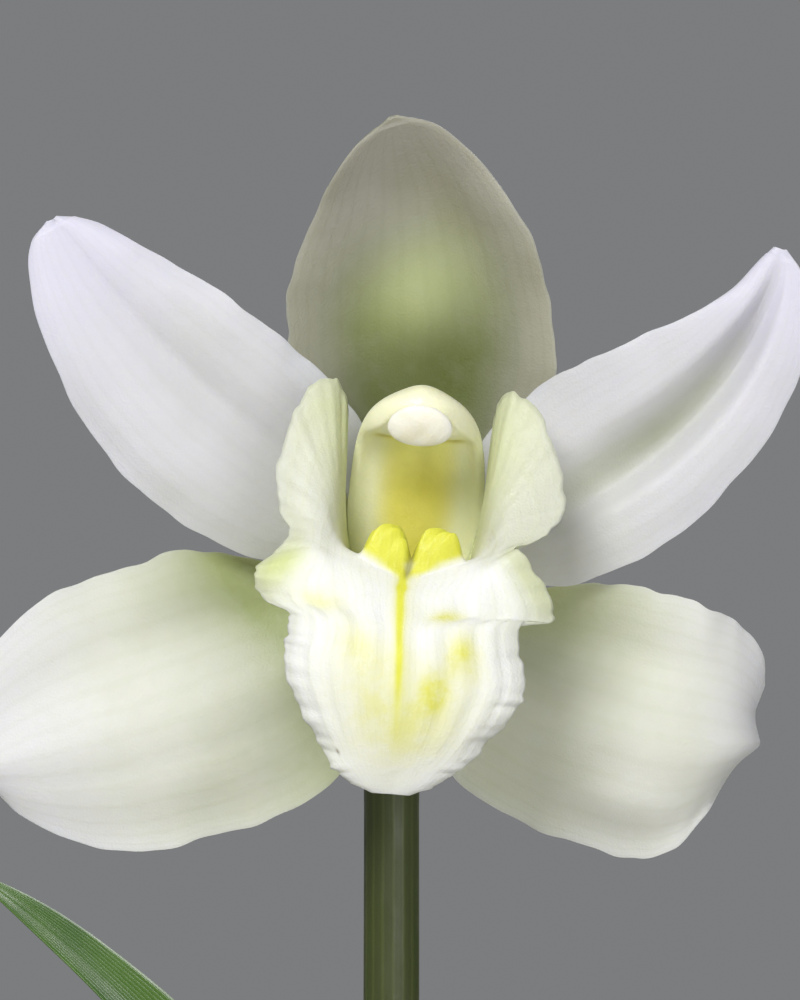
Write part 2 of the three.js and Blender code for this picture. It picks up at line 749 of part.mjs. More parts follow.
export default orchid;
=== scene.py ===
"""A white cymbidium in a clay pot: the fine surfaces, the materials, the light and the camera.

Shapes are worked out in millimetres and turned into metres when a mesh is made. The flower has a
frame of its own: u to the right, v towards the viewer, w up, from the point where the petals spread.
"""

import math
import random

import bmesh
import bpy
import numpy as np
from mathutils import Matrix, Vector


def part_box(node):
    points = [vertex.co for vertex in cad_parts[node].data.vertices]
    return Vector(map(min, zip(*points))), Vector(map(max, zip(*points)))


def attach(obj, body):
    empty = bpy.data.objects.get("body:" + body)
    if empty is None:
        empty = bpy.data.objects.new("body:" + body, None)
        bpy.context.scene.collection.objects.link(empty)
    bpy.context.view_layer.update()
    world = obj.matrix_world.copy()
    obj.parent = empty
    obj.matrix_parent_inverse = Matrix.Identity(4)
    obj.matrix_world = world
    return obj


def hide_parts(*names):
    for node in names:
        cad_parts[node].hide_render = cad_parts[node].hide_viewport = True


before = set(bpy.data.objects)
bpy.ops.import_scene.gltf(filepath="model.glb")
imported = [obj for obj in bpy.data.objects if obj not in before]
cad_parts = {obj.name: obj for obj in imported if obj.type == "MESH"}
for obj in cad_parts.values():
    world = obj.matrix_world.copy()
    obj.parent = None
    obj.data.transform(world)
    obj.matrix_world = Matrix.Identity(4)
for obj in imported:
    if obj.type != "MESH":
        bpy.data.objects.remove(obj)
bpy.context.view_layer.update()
MM = 0.001

# ======== what the frame says


def box_mm(node):
    low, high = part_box(node)
    return np.array(low) / MM, np.array(high) / MM


POT_HIGH = box_mm("pot")[1]
BARK_LOW, BARK_HIGH = box_mm("bark_mix")
POT_HEIGHT = POT_HIGH[2]
POT_FOOT_RADIUS = 45
POT_RIM_RADIUS = 66
POT_WALL = 5.5
POT_FLOOR = 8
RIM_HEIGHT = 22
DRAIN_RADIUS = 5.5
DRAIN_CIRCLE = 25
RIM_PROUD = POT_HIGH[0] - POT_RIM_RADIUS
BARK_MOUND = 3
BARK_TOP = BARK_HIGH[2] - BARK_MOUND

FLOWER_ROLL = math.radians(4.5)


# ======== curves and numbers


def smoothstep(x, low, high):
    share = np.clip((x - low) / (high - low), 0, 1)
    return share * share * (3 - 2 * share)


def fade(x, low, high):
    return 1 - smoothstep(x, low, high)


def lerp(a, b, share):
    return a + (b - a) * share


def bezier(points, t):
    """Points and tangents of a cubic through four control points, for an array of t."""
    p = np.array(points, float)
    t = np.asarray(t, float)[..., None]
    r = 1 - t
    place = r**3 * p[0] + 3 * r**2 * t * p[1] + 3 * r * t**2 * p[2] + t**3 * p[3]
    slope = 3 * (r**2 * (p[1] - p[0]) + 2 * r * t * (p[2] - p[1]) + t**2 * (p[3] - p[2]))
    return place, slope / np.linalg.norm(slope, axis=-1, keepdims=True)


def through(stops, values, t):
    """A smooth curve through values at the given stops, flat where neighbours turn back."""
    steps = np.diff(stops)
    slopes = np.diff(values) / steps
    product = slopes[1:] * slopes[:-1]
    both = slopes[1:] + slopes[:-1]
    inner = np.where(product > 0, 2 * product / np.where(both == 0, 1, both), 0)
    tangents = np.concatenate([slopes[:1], inner, slopes[-1:]])
    i = np.clip(np.searchsorted(stops, t, side="right") - 1, 0, len(steps) - 1)
    x = (t - stops[i]) / steps[i]
    return (
        values[i] * (1 + 2 * x) * (1 - x) ** 2
        + tangents[i] * steps[i] * x * (1 - x) ** 2
        + values[i + 1] * x**2 * (3 - 2 * x)
        + tangents[i + 1] * steps[i] * x**2 * (x - 1)
    )


def catmull(points, t):
    """A rounder curve through evenly numbered points, for an array of t from 0 to 1."""
    p = np.array(points, float)
    p = np.concatenate([[2 * p[0] - p[1]], p, [2 * p[-1] - p[-2]]])
    last = len(p) - 3
    place = np.clip(np.asarray(t, float), 0, 1) * last
    i = np.minimum(place.astype(int), last - 1)
    x = (place - i).reshape(place.shape + (1,) * (p.ndim - 1))
    a, b, c, d = p[i], p[i + 1], p[i + 2], p[i + 3]
    return 0.5 * (
        2 * b
        + (c - a) * x
        + (2 * a - 5 * b + 4 * c - d) * x**2
        + (3 * b - a - 3 * c + d) * x**3
    )


def unit(v):
    return v / np.maximum(np.linalg.norm(v, axis=-1, keepdims=True), 1e-9)


def circle(count):
    return np.linspace(0, 2 * math.pi, count, endpoint=False)


def grid(t, s):
    """t along the rows and s across them, one of each for every point of a grid."""
    return np.meshgrid(t, s, indexing="ij")


def running(steps):
    """The sum of the steps before each one."""
    return np.concatenate([[0], np.cumsum(steps[:-1])])


def ridge(x, place, width):
    """1 at a place and falling off to both sides."""
    return np.exp(-(((x - place) / width) ** 2))


def ripple(x, seed, waves):
    """A gentle wavy line made of a few sines whose phases depend on the seed."""
    rng = np.random.default_rng(seed)
    total = np.zeros_like(np.asarray(x, float))
    for cycles, height in waves:
        total = total + height * np.sin(2 * math.pi * (cycles * x + rng.random()))
    return total


# ======== meshes


def volume(points, faces):
    """Six times the signed volume of a closed mesh of convex faces."""
    total = 0.0
    for size in {len(face) for face in faces}:
        corners = points[np.array([face for face in faces if len(face) == size])]
        for k in range(1, size - 1):
            total += np.einsum("ij,ij->", corners[:, 0], np.cross(corners[:, k], corners[:, k + 1]))
    return total


def make_object(name, points, faces, attributes=None, uv=None):
    """A smooth-shaded mesh object from points in millimetres."""
    points = np.asarray(points, float)
    if volume(points, faces) < 0:
        faces = [tuple(face)[::-1] for face in faces]
    mesh = bpy.data.meshes.new(name)
    mesh.from_pydata((points * MM).tolist(), [], faces)
    mesh.validate()
    for key, values in (attributes or {}).items():
        layer = mesh.attributes.new(key, "FLOAT", "POINT")
        layer.data.foreach_set("value", np.asarray(values, np.float32))
    if uv is not None:
        layer = mesh.uv_layers.new(name="across_along")
        corners = np.empty(len(mesh.loops), np.int32)
        mesh.loops.foreach_get("vertex_index", corners)
        layer.data.foreach_set("uv", np.asarray(uv, np.float32)[corners].ravel())
    mesh.shade_smooth()
    made = bpy.data.objects.new(name, mesh)
    bpy.context.scene.collection.objects.link(made)
    return made


def grid_faces(rows, columns, offset=0, flip=False, wrap=False):
    """Quads over a grid of points numbered row by row. wrap joins the last column to the first."""
    faces = []
    for i in range(rows - 1):
        for j in range(columns if wrap else columns - 1):
            a = offset + i * columns + j
            b = offset + i * columns + (j + 1) % columns
            quad = (a, b, b + columns, a + columns)
            faces.append(quad[::-1] if flip else quad)
    return faces


def across_along(rows, columns):
    """Texture coordinates over a grid: across it and along it, both from 0 to 1."""
    along, across = grid(np.linspace(0, 1, rows), np.linspace(0, 1, columns))
    return np.stack([across.ravel(), along.ravel()], axis=1)


def sheet_normal(middle):
    return unit(np.cross(np.gradient(middle, axis=1), np.gradient(middle, axis=0)))


def sheet_object(name, middle, thickness, attributes, rise=0):
    """A closed thin body round a grid of middle points, rows running from the foot to the tip.

    rise moves its upper side. The attributes are grids too; the made piece also carries 'front', 1 on
    its upper side."""
    rows, columns = middle.shape[:2]
    half = sheet_normal(middle) * thickness[..., None] / 2
    points = np.concatenate([(middle + half + rise).reshape(-1, 3), (middle - half).reshape(-1, 3)])
    count = rows * columns
    faces = grid_faces(rows, columns)
    faces += grid_faces(rows, columns, count, flip=True)
    rim = [(0, j) for j in range(columns)]
    rim += [(i, columns - 1) for i in range(1, rows)]
    rim += [(rows - 1, j) for j in range(columns - 2, -1, -1)]
    rim += [(i, 0) for i in range(rows - 2, 0, -1)]
    around = [i * columns + j for i, j in rim]
    for a, b in zip(around, around[1:] + around[:1]):
        faces.append((b, a, a + count, b + count))
    layers = {key: np.tile(values.ravel(), 2) for key, values in attributes.items()}
    layers["front"] = np.repeat([1.0, 0.0], count)
    return make_object(name, points, faces, layers, np.tile(across_along(rows, columns), (2, 1)))


def ring_object(name, rings, attributes=None):
    """A closed body through rings of points, with a point in the middle of each end."""
    rows, columns = rings.shape[:2]
    points = np.concatenate([rings.reshape(-1, 3), [rings[0].mean(axis=0), rings[-1].mean(axis=0)]])
    faces = grid_faces(rows, columns, wrap=True)
    first, last = rows * columns, rows * columns + 1
    for j in range(columns):
        after = (j + 1) % columns
        faces.append((first, after, j))
        faces.append((last, (rows - 1) * columns + j, (rows - 1) * columns + after))
    uv = np.concatenate([across_along(rows, columns), [[0.5, 0], [0.5, 1]]])
    layers = {}
    for key, values in (attributes or {}).items():
        layers[key] = np.concatenate([values.ravel(), [values[0].mean(), values[-1].mean()]])
    return make_object(name, points, faces, layers, uv)


def turned(r, z, angle):
    """Rings round the Z axis at radii r and heights z."""
    return np.stack([r * np.cos(angle), r * np.sin(angle), z + 0 * angle], axis=-1)


def turning_frame(curve):
    """The direction of a path at each of its points, and a side of it that turns as little as it can."""
    tangent = unit(np.gradient(curve, axis=0))
    side = unit(np.cross(tangent[0], [0.3, 1.0, 0.2]))
    sides = []
    for direction in tangent:
        side = unit(side - direction * np.dot(side, direction))
        sides.append(side)
    return tangent, np.array(sides)


def rod_rings(curve, radius, count, lobe=None):
    """Rings of count points round a path. radius is one per ring.

    lobe takes the angles and gives each ring's shape, one row per ring."""
    tangent, side = turning_frame(curve)
    angle = circle(count)[:, None]
    ring = np.cos(angle) * side[:, None] + np.sin(angle) * np.cross(tangent, side)[:, None]
    reach = 1 if lobe is None else lobe(circle(count))
    return curve[:, None] + ring * (radius[:, None] * reach)[..., None]


# ======== placing pieces


def stand_for(piece, material, slot, *nodes):
    """piece gets its material, rides on the plant and replaces these nodes. slot is not used."""
    piece.data.materials.clear()
    piece.data.materials.append(material)
    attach(piece, "root")
    if nodes:
        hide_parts(*nodes)


def flower_to_row(points, place):
    """From the flower's own u, v, w to the row frame, in millimetres."""
    u, v, w = np.moveaxis(np.asarray(points, float), -1, 0)
    x = u * math.cos(FLOWER_ROLL) + w * math.sin(FLOWER_ROLL)
    z = w * math.cos(FLOWER_ROLL) - u * math.sin(FLOWER_ROLL)
    return np.stack([x, -v, z], axis=-1) + place


# ======== material helpers


class Nodes:
    """A short way to write a material's node tree. Colours are the usual 0 to 255 numbers."""

    def __init__(self, name):
        self.material = bpy.data.materials.new(name)
        self.material.use_nodes = True
        self.tree = self.material.node_tree
        self.tree.nodes.clear()
        self.out = self.add("OutputMaterial")
        self.surface = self.add("BsdfPrincipled")
        self.put(self.out.inputs["Surface"], self.surface.outputs["BSDF"])

    def add(self, kind, inputs=None, **settings):
        node = self.tree.nodes.new("ShaderNode" + kind)
        for key, value in settings.items():
            setattr(node, key, value)
        for key, value in (inputs or {}).items():
            self.put(node.inputs[key], value)
        return node

    def put(self, socket, value):
        """value is a number, a vector, a colour or another node's output."""
        if isinstance(value, bpy.types.NodeSocket):
            self.tree.links.new(value, socket)
        elif socket.type == "RGBA":
            socket.default_value = (*(linear(part) for part in value), 1)
        else:
            socket.default_value = value

    def math(self, operation, *values):
        return self.add("Math", dict(enumerate(values)), operation=operation).outputs[0]

    def attribute(self, name):
        return self.add("Attribute", attribute_name=name).outputs["Fac"]

    def back(self):
        """1 on the lower side of a sheet."""
        return self.math("SUBTRACT", 1.0, self.attribute("front"))

    def mix(self, share, a, b):
        return self.add("Mix", {"Factor": share, "A": a, "B": b}, data_type="RGBA").outputs["Result"]

    def over(self, under, colour, share, strength=1):
        """colour laid over another one, by a share or the name of an attribute, times a strength."""
        if isinstance(share, str):
            share = self.attribute(share)
        if strength != 1:
            share = self.math("MULTIPLY", share, strength)
        return self.mix(share, under, colour)

    def place(self, stretch=None):
        coordinates = self.add("TexCoord").outputs["Object"]
        if stretch is None:
            return coordinates
        return self.add("Mapping", {"Vector": coordinates, "Scale": stretch}).outputs["Vector"]

    def noise(self, scale, detail=4, roughness=0.55, stretch=None, distortion=0):
        inputs = {"Vector": self.place(stretch), "Scale": scale, "Detail": detail}
        inputs.update({"Roughness": roughness, "Distortion": distortion})
        return self.add("TexNoise", inputs).outputs["Fac"]

    def voronoi(self, scale):
        return self.add("TexVoronoi", {"Vector": self.place(), "Scale": scale}).outputs["Distance"]

    def range(self, value, low, high, to_low=0, to_high=1):
        inputs = {"Value": value, "From Min": low, "From Max": high, "To Min": to_low, "To Max": to_high}
        return self.add("MapRange", inputs, interpolation_type="SMOOTHSTEP").outputs["Result"]

    def dots(self, scale, size):
        """Small round spots, 1 in the middle of each."""
        return self.range(self.voronoi(scale), 0, size, 1, 0)

    def veins(self, count, wander):
        """Fine lines along the piece, 1 on a vein and 0 between two."""
        uv = self.add("UVMap", uv_map="across_along").outputs["UV"]
        across = self.add("SeparateXYZ", {0: uv}).outputs["X"]
        stray = self.math("MULTIPLY", self.noise(90, 3), wander)
        phase = self.math("MULTIPLY_ADD", across, count, stray)
        return self.range(self.math("SINE", self.math("MULTIPLY", phase, 2 * math.pi)), 0.2, 1)

    def bumps(self, *layers):
        """Each layer is (height output, distance in metres, strength)."""
        normal = None
        for height, distance, strength in layers:
            node = self.add("Bump", {"Height": height, "Distance": distance, "Strength": strength})
            if normal is not None:
                self.put(node.inputs["Normal"], normal)
            normal = node.outputs["Normal"]
        self.put(self.surface.inputs["Normal"], normal)

    def finish(self, colour, pattern, roughness, flesh=None, thin=None, spread=(0.3, 0.7), **more):
        """The surface's colour, and its roughness, which follows the pattern over its spread.

        flesh is the weight, the radius and the depth in metres of the light that goes in, and thin is
        the share that a sheet lets through."""
        values = {"Base Color": colour, "Roughness": self.range(pattern, *spread, *roughness), **more}
        if flesh:
            values.update(zip(("Subsurface Weight", "Subsurface Radius", "Subsurface Scale"), flesh))
        for key, value in values.items():
            self.put(self.surface.inputs[key.replace("_", " ")], value)
        if thin:
            glow = self.add("BsdfTranslucent", {"Color": colour})
            both = self.add("MixShader", {0: thin, 1: self.surface.outputs[0], 2: glow.outputs[0]})
            self.put(self.out.inputs["Surface"], both.outputs[0])
        return self.material


def linear(part):
    """A part of a colour, from 0 to 255, in linear light."""
    return ((part / 255 + 0.055) / 1.055) ** 2.4 if part > 10 else part / 255 / 12.92


# ======== materials

PETAL_SHEEN = {"Sheen_Weight": 0.1, "Sheen_Roughness": 0.4, "Specular_IOR_Level": 0.4}


def tepal_material(name, white, shade, tip, flush):
    """Waxy flower tissue. 'green' says where the flush lies and 'tipward' where the tip's tint lies."""
    n = Nodes(name)
    cloud = n.noise(45, 5, 0.6)
    veins = n.veins(17, 0.72)
    green = n.math("MULTIPLY", n.attribute("green"), n.range(cloud, 0.2, 0.8, 0.85, 1.1))
    colour = n.mix(n.range(cloud, 0.35, 0.72), white, shade)
    colour = n.over(colour, tip, "tipward")
    colour = n.over(colour, flush, green)
    # Painted shade: darker olive patches where the dorsal sepal's hood lies in shade.
    colour = n.over(colour, (126, 124, 92), "dusky", 0.55)
    # Painted light: a paler patch where light falls on the dorsal sepal.
    colour = n.over(colour, (186, 194, 140), "bright", 0.75)
    colour = n.over(colour, flush, veins, 0.045)
    colour = n.over(colour, shade, n.range(n.noise(260, 4, 0.6), 0.45, 0.7, 0, 0.12))
    colour = n.over(colour, flush, n.back(), 0.3)
    n.bumps(
        (veins, 0.0002, 0.07),
        (n.noise(150, 3), 0.0006, 0.12),
        (n.noise(700, 3), 0.0002, 0.2),
        (n.voronoi(3200), 0.0001, 0.3),
    )
    flesh = (0.35, (1, 0.9, 0.6), 0.0025)
    return n.finish(colour, n.noise(900, 2), (0.44, 0.58), flesh, 0.14, **PETAL_SHEEN)


def lip_material():
    n = Nodes("lip_tissue")
    lime = (208, 218, 134)
    veins = n.veins(28, 1.8)
    colour = n.mix(n.range(n.noise(110), 0.42, 0.75), (243, 243, 238), (240, 241, 228))
    # Painted shade on the side walls and ears, most on the right wall, with the margins' own grey.
    colour = n.over(colour, (207, 208, 190), "grey", 0.9)
    colour = n.over(colour, lime, "green")
    blotch = n.math("MULTIPLY", n.attribute("patch"), n.range(n.noise(240, 4, 0.65), 0.34, 0.62, 0.6, 1))
    colour = n.over(colour, (224, 222, 92), blotch)
    pads = n.mix(n.range(n.noise(300, 3), 0.4, 0.75), (228, 227, 78), (219, 217, 66))
    colour = n.over(colour, pads, "yellow")
    # Painted shade: a dark olive line in the groove between the keels.
    colour = n.over(colour, (150, 146, 30), "groove", 0.8)
    colour = n.over(colour, (104, 70, 34), "speck", 0.8)
    colour = n.over(colour, lime, veins, 0.05)
    n.bumps(
        (veins, 0.0002, 0.12),
        (n.noise(260), 0.0005, 0.25),
        (n.noise(800, 3), 0.0002, 0.25),
        (n.voronoi(3200), 0.0001, 0.35),
    )
    flesh = (0.3, (1, 0.95, 0.6), 0.002)
    return n.finish(colour, n.noise(900, 2), (0.42, 0.56), flesh, 0.1, **PETAL_SHEEN)


def column_material():
    n = Nodes("column_tissue")
    cloud = n.noise(140, 3)
    colour = n.over((248, 246, 208), (243, 244, 208), "green")
    # The gold is painted lighter towards the top of the face, as painted light where the hood shades it,
    # and darker towards its foot, as painted shade.
    low = n.math("MULTIPLY", n.attribute("low"), 0.8)
    low = n.math("MULTIPLY_ADD", n.range(cloud, 0.35, 0.7), 0.2, low)
    colour = n.over(colour, n.mix(low, (255, 248, 150), (212, 203, 88)), "gold")
    # Painted shadow in the two corners under the hood.
    colour = n.over(colour, (190, 178, 44), "deep", 0.75)
    n.bumps((n.noise(260, 3), 0.0004, 0.2), (n.noise(700, 3), 0.0002, 0.3), (n.voronoi(3000), 0.0001, 0.35))
    flesh = (0.3, (1, 0.9, 0.4), 0.002)
    return n.finish(colour, cloud, (0.34, 0.46), flesh, Coat_Weight=0.08, Coat_Roughness=0.3)


def cap_material():
    n = Nodes("anther_cap_tissue")
    colour = n.mix(n.range(n.noise(260, 3), 0.35, 0.7), (247, 243, 228), (242, 236, 212))
    n.bumps((n.noise(700, 3), 0.0002, 0.35), (n.voronoi(3000), 0.0001, 0.35))
    return n.finish(colour, n.noise(500, 2), (0.35, 0.5), (0.3, (1, 0.9, 0.6), 0.002))


def leaf_material():
    n = Nodes("leaf_blade")
    veins = n.veins(15, 0.36)
    fine = n.veins(60, 0.6)
    colour = n.mix(n.range(n.noise(26, stretch=(1, 1, 0.5)), 0.3, 0.72), (44, 84, 30), (92, 130, 46))
    colour = n.over(colour, (128, 156, 78), "pale", 0.75)
    colour = n.over(colour, (120, 152, 70), veins, 0.2)
    colour = n.over(colour, (112, 144, 74), n.back(), 0.4)
    colour = n.over(colour, (166, 170, 90), n.dots(300, 0.12), 0.1)
    edge = n.math("MULTIPLY", n.attribute("dry"), n.range(n.noise(320), 0.3, 0.6, 0.7, 1.1))
    colour = n.over(colour, (150, 120, 62), edge)
    n.bumps(
        (veins, 0.0003, 0.3),
        (fine, 0.0001, 0.15),
        (n.noise(160, 3), 0.0004, 0.12),
        (n.noise(600, 3), 0.0001, 0.15),
    )
    flesh = (0.05, (0.3, 1, 0.1), 0.001)
    coat = {"Coat_Weight": 0.12, "Coat_Roughness": 0.25}
    return n.finish(colour, n.noise(120, 3), (0.34, 0.46), flesh, 0.1, **coat)


def stalk_material():
    n = Nodes("stalk_skin")
    ribs = n.veins(16, 0.3)
    # The stalk's own dark olive is darkened further as painted shade.
    colour = n.mix(n.range(n.noise(40, stretch=(1, 1, 0.3)), 0.3, 0.7), (66, 75, 33), (50, 57, 25))
    colour = n.over(colour, (168, 178, 104), "pale")
    colour = n.over(colour, (138, 148, 80), ribs, 0.08)
    colour = n.over(colour, (72, 58, 36), n.dots(800, 0.16), 0.2)
    n.bumps((ribs, 0.0003, 0.12), (n.noise(90, 3), 0.001, 0.2), (n.noise(600, 3), 0.0002, 0.3))
    return n.finish(colour, n.noise(200, 3), (0.38, 0.52), (0.08, (0.4, 1, 0.2), 0.0015))


def bract_material():
    n = Nodes("bract_skin")
    veins = n.veins(22, 0.48)
    colour = n.mix(n.range(n.noise(60, stretch=(1, 1, 0.4)), 0.35, 0.7), (136, 150, 88), (160, 168, 108))
    colour = n.over(colour, (196, 182, 134), "dry")
    colour = n.over(colour, (100, 112, 58), veins, 0.3)
    n.bumps((veins, 0.0003, 0.6), (n.noise(500), 0.0002, 0.4))
    return n.finish(colour, n.noise(240, 3), (0.45, 0.62), (0.08, (0.6, 1, 0.3), 0.001), 0.12)


def bulb_material(name, green, light, husk_share):
    n = Nodes(name)
    dark = (110, 90, 56)
    ribs = n.veins(28, 0.9)
    fibres = n.noise(260, 5, stretch=(1, 1, 0.12))
    paper = n.mix(n.range(fibres, 0.35, 0.65), (176, 158, 112), dark)
    colour = n.mix(n.range(n.noise(50, stretch=(1, 1, 0.4)), 0.3, 0.7), green, light)
    colour = n.over(colour, paper, "dry", husk_share)
    colour = n.over(colour, dark, ribs, 0.12)
    n.bumps((ribs, 0.0005, 0.5), (fibres, 0.0004, 0.5), (n.noise(700, 3), 0.0001, 0.3))
    return n.finish(colour, n.noise(160, 3), (0.42, 0.66), (0.06, (0.5, 1, 0.2), 0.002))


def root_material():
    n = Nodes("root_velamen")
    cloud = n.noise(90)
    colour = n.mix(n.range(cloud, 0.35, 0.7), (206, 202, 178), (158, 150, 118))
    colour = n.over(colour, (96, 78, 54), n.range(n.noise(420), 0.58, 0.7, 0, 0.5))
    n.bumps((n.noise(500, 5), 0.0005, 0.5), (n.voronoi(1500), 0.0002, 0.4))
    return n.finish(colour, cloud, (0.7, 0.9))


def clay_material():
    n = Nodes("fired_clay")
    grain = n.noise(900, 4, 0.7)
    streaks = n.noise(18, 5, 0.6, stretch=(1, 1, 5))
    colour = n.mix(n.range(n.noise(14, 5, 0.6), 0.3, 0.7), (190, 108, 70), (208, 134, 96))
    colour = n.over(colour, (150, 78, 50), n.range(streaks, 0.5, 0.72, 0, 0.5))
    colour = n.over(colour, (120, 62, 42), n.dots(900, 0.2), 0.35)
    bloom = n.math("MULTIPLY", n.attribute("bloom"), n.range(n.noise(60, 6, 0.7), 0.42, 0.66))
    colour = n.over(colour, (222, 200, 178), bloom)
    colour = n.over(colour, (112, 58, 38), "damp", 0.35)
    n.bumps(
        (n.noise(60, 3, stretch=(1, 1, 6)), 0.0006, 0.3),
        (grain, 0.0004, 0.6),
        (n.noise(2500, 2), 0.0001, 0.5),
    )
    return n.finish(colour, grain, (0.78, 0.95), Specular_IOR_Level=0.3)


def bark_material():
    n = Nodes("bark_chip")
    layers = n.noise(260, 5, 0.6, stretch=(1, 1, 3.5), distortion=0.6)
    colour = n.over((70, 44, 28), (150, 100, 62), "tone")
    colour = n.over(colour, (98, 60, 38), n.range(layers, 0.4, 0.62))
    colour = n.over(colour, (44, 28, 18), n.range(n.noise(900, 5), 0.55, 0.7, 0, 0.7))
    colour = n.over(colour, (176, 142, 104), n.range(n.noise(140, 5), 0.62, 0.74, 0, 0.6))
    n.bumps((layers, 0.0012, 0.8), (n.noise(1400), 0.0005, 0.6))
    return n.finish(colour, layers, (0.8, 0.97))


def perlite_material():
    n = Nodes("perlite_grain")
    holes = n.voronoi(1400)
    colour = n.mix(n.range(n.noise(300), 0.35, 0.7), (236, 234, 226), (206, 200, 186))
    n.bumps((holes, 0.0006, 0.7), (n.noise(900), 0.0004, 0.5))
    return n.finish(colour, holes, (0.95, 0.8), spread=(0, 0.6))


def floor_material():
    n = Nodes("studio_floor")
    colour = n.mix(n.range(n.noise(3), 0.3, 0.7), (197.3, 197.3, 195.7), (203.4, 203.4, 201.9))
    n.bumps((n.noise(220, 3), 0.0003, 0.1))
    return n.finish(colour, n.noise(40, 3), (0.7, 0.85))


# ======== column, and where the flower is

COLUMN_SPINE = [(0, 2, 0.4), (0.4, 3.4, 8), (0.7, 8, 18.8), (0.7, 20.5, 20.4)]
CAP_MIDDLE = (0.1, 19.3, 17.7)
CAP_HALF = (4, 1.2, 2.5)  # half its width, depth and height


def column_rings(steps, half, fine):
    """Sections of the column from its foot to its tip, how deep each point of a section lies in its
    hollow, and where along the column each section is.

    fine draws the full shape, and otherwise it is the plain body of the frame."""
    t = np.sin(np.linspace(0, 1, steps + 1) * math.pi / 2)
    centre, tangent = bezier(COLUMN_SPINE, t)
    right = np.array([1.0, 0, 0])
    # In u, v, w the belly is the side that looks at the lip: across the spine, away from its back.
    belly = unit(np.cross(tangent, right))
    angles = np.arange(half + 1) / half * math.pi
    across = np.cos(angles)
    inner = across[1:-1]
    lift = np.sin(angles[1:-1])
    rings = []
    for i, share in enumerate(t):
        close = math.sqrt(max(1 - share**5, 0.0004 if fine else 0.006))
        thick = lerp(3.4, 4, share) * close
        opening = smoothstep(share, 0.1, 0.4) * close
        if fine:
            wide = lerp(7.9, 8.7, smoothstep(share, 0.02, 0.3)) * math.sqrt(max(1 - share**4.2, 0.0004))
            dish = 0.7 * opening * fade(share, 0.55, 0.78)
            nose = lerp(0.9, 4.4, smoothstep(share, 0.66, 0.9))
            # The hood comes to a low ridge over the tip, which lies a little to the left.
            crest = 1.3 * smoothstep(share, 0.45, 0.8) * close * ridge(across, 0, 0.55)
            shift = 0.5 * smoothstep(share, 0.3, 0.9)
            groove = 0.5 * opening * ridge(inner, 0, 0.16)
            wings = 0.5 * smoothstep(share, 0.15, 0.5) * close * ridge(np.abs(inner), 0.9, 0.1)
        else:
            wide = lerp(4.8, 8.6, smoothstep(share, 0, 0.4)) * close
            dish = 2.6 * opening * fade(share, 0.8, 0.97)
            nose = 0.9
            crest = shift = groove = wings = 0
        back = np.stack([across * wide, -thick * np.sin(angles) - crest], axis=1)
        floor = (nose * close - dish) * lift**0.8 - groove + wings
        ring = np.concatenate([back, np.stack([-inner * wide, floor], axis=1)]) - [shift, 0]
        rings.append(centre[i] + ring[:, :1] * right + ring[:, 1:] * belly[i])
    return np.array(rings), np.concatenate([np.zeros(half + 1), lift]), t


def find_flower():
    """The flower's place: where the frame's column is, against the same body drawn at the origin."""
    rings, _, _ = column_rings(16, 10, fine=False)
    drawn = flower_to_row(rings.reshape(-1, 3), np.zeros(3))
    low, high = box_mm("column")
    return (low + high) / 2 - (drawn.min(axis=0) + drawn.max(axis=0)) / 2


PLACE = find_flower()


def make_column():
    rings, depth, t = column_rings(120, 60, fine=True)
    along, hollow = grid(t, depth)
    # Golden in the hollow and paler towards its edges, with painted shadow in two corners under the hood.
    gold = lerp(0.1, 1, smoothstep(hollow, 0.72, 0.98)) * fade(along, 0.7, 0.78)
    hood_shadow = ridge(hollow, 0.8, 0.14) * ridge(along, 0.72, 0.03)
    grids = {
        "gold": np.clip(gold * smoothstep(hollow, 0.1, 0.5) + 0.5 * hood_shadow, 0, 1),
        "green": fade(along, 0.5, 0.9) * 0.9,
        "deep": hood_shadow,
        # painted light towards the top of the face and painted shade towards its foot
        "low": fade(along, 0.35, 0.62),
    }
    piece = ring_object("column", flower_to_row(rings, PLACE), grids)
    stand_for(piece, column_material(), "column", "column")


def make_cap():
    """The anther cap: a low two-lobed dome under the column's tip."""
    wide, deep, high = CAP_HALF
    polar, angle = grid(np.linspace(math.pi - 0.03, 0.03, 48), circle(72))
    u, v, w = np.sin(polar) * np.cos(angle), np.sin(polar) * np.sin(angle), np.cos(polar)
    cleft = 0.1 * ridge(u, 0, 0.2) * np.clip(v + 0.3, 0, 1) * smoothstep(-w, -0.2, 0.6)
    height = w * high + 0.5 * cleft - 0.3 * u * u
    # Its back is sunk in the hood, and it leans with the hood's front.
    points = np.stack([u * wide, v * (deep - 3 * cleft) + 0.5 * height, height], axis=-1)
    piece = ring_object("anther_cap", flower_to_row(points + CAP_MIDDLE, PLACE))
    stand_for(piece, cap_material(), "anther_cap", "anther_cap")


# ======== sepals and petals

SEPAL_PLANE = -4.1
PETAL_PLANE = -2.4
TEPAL_THICKNESS = 1.1

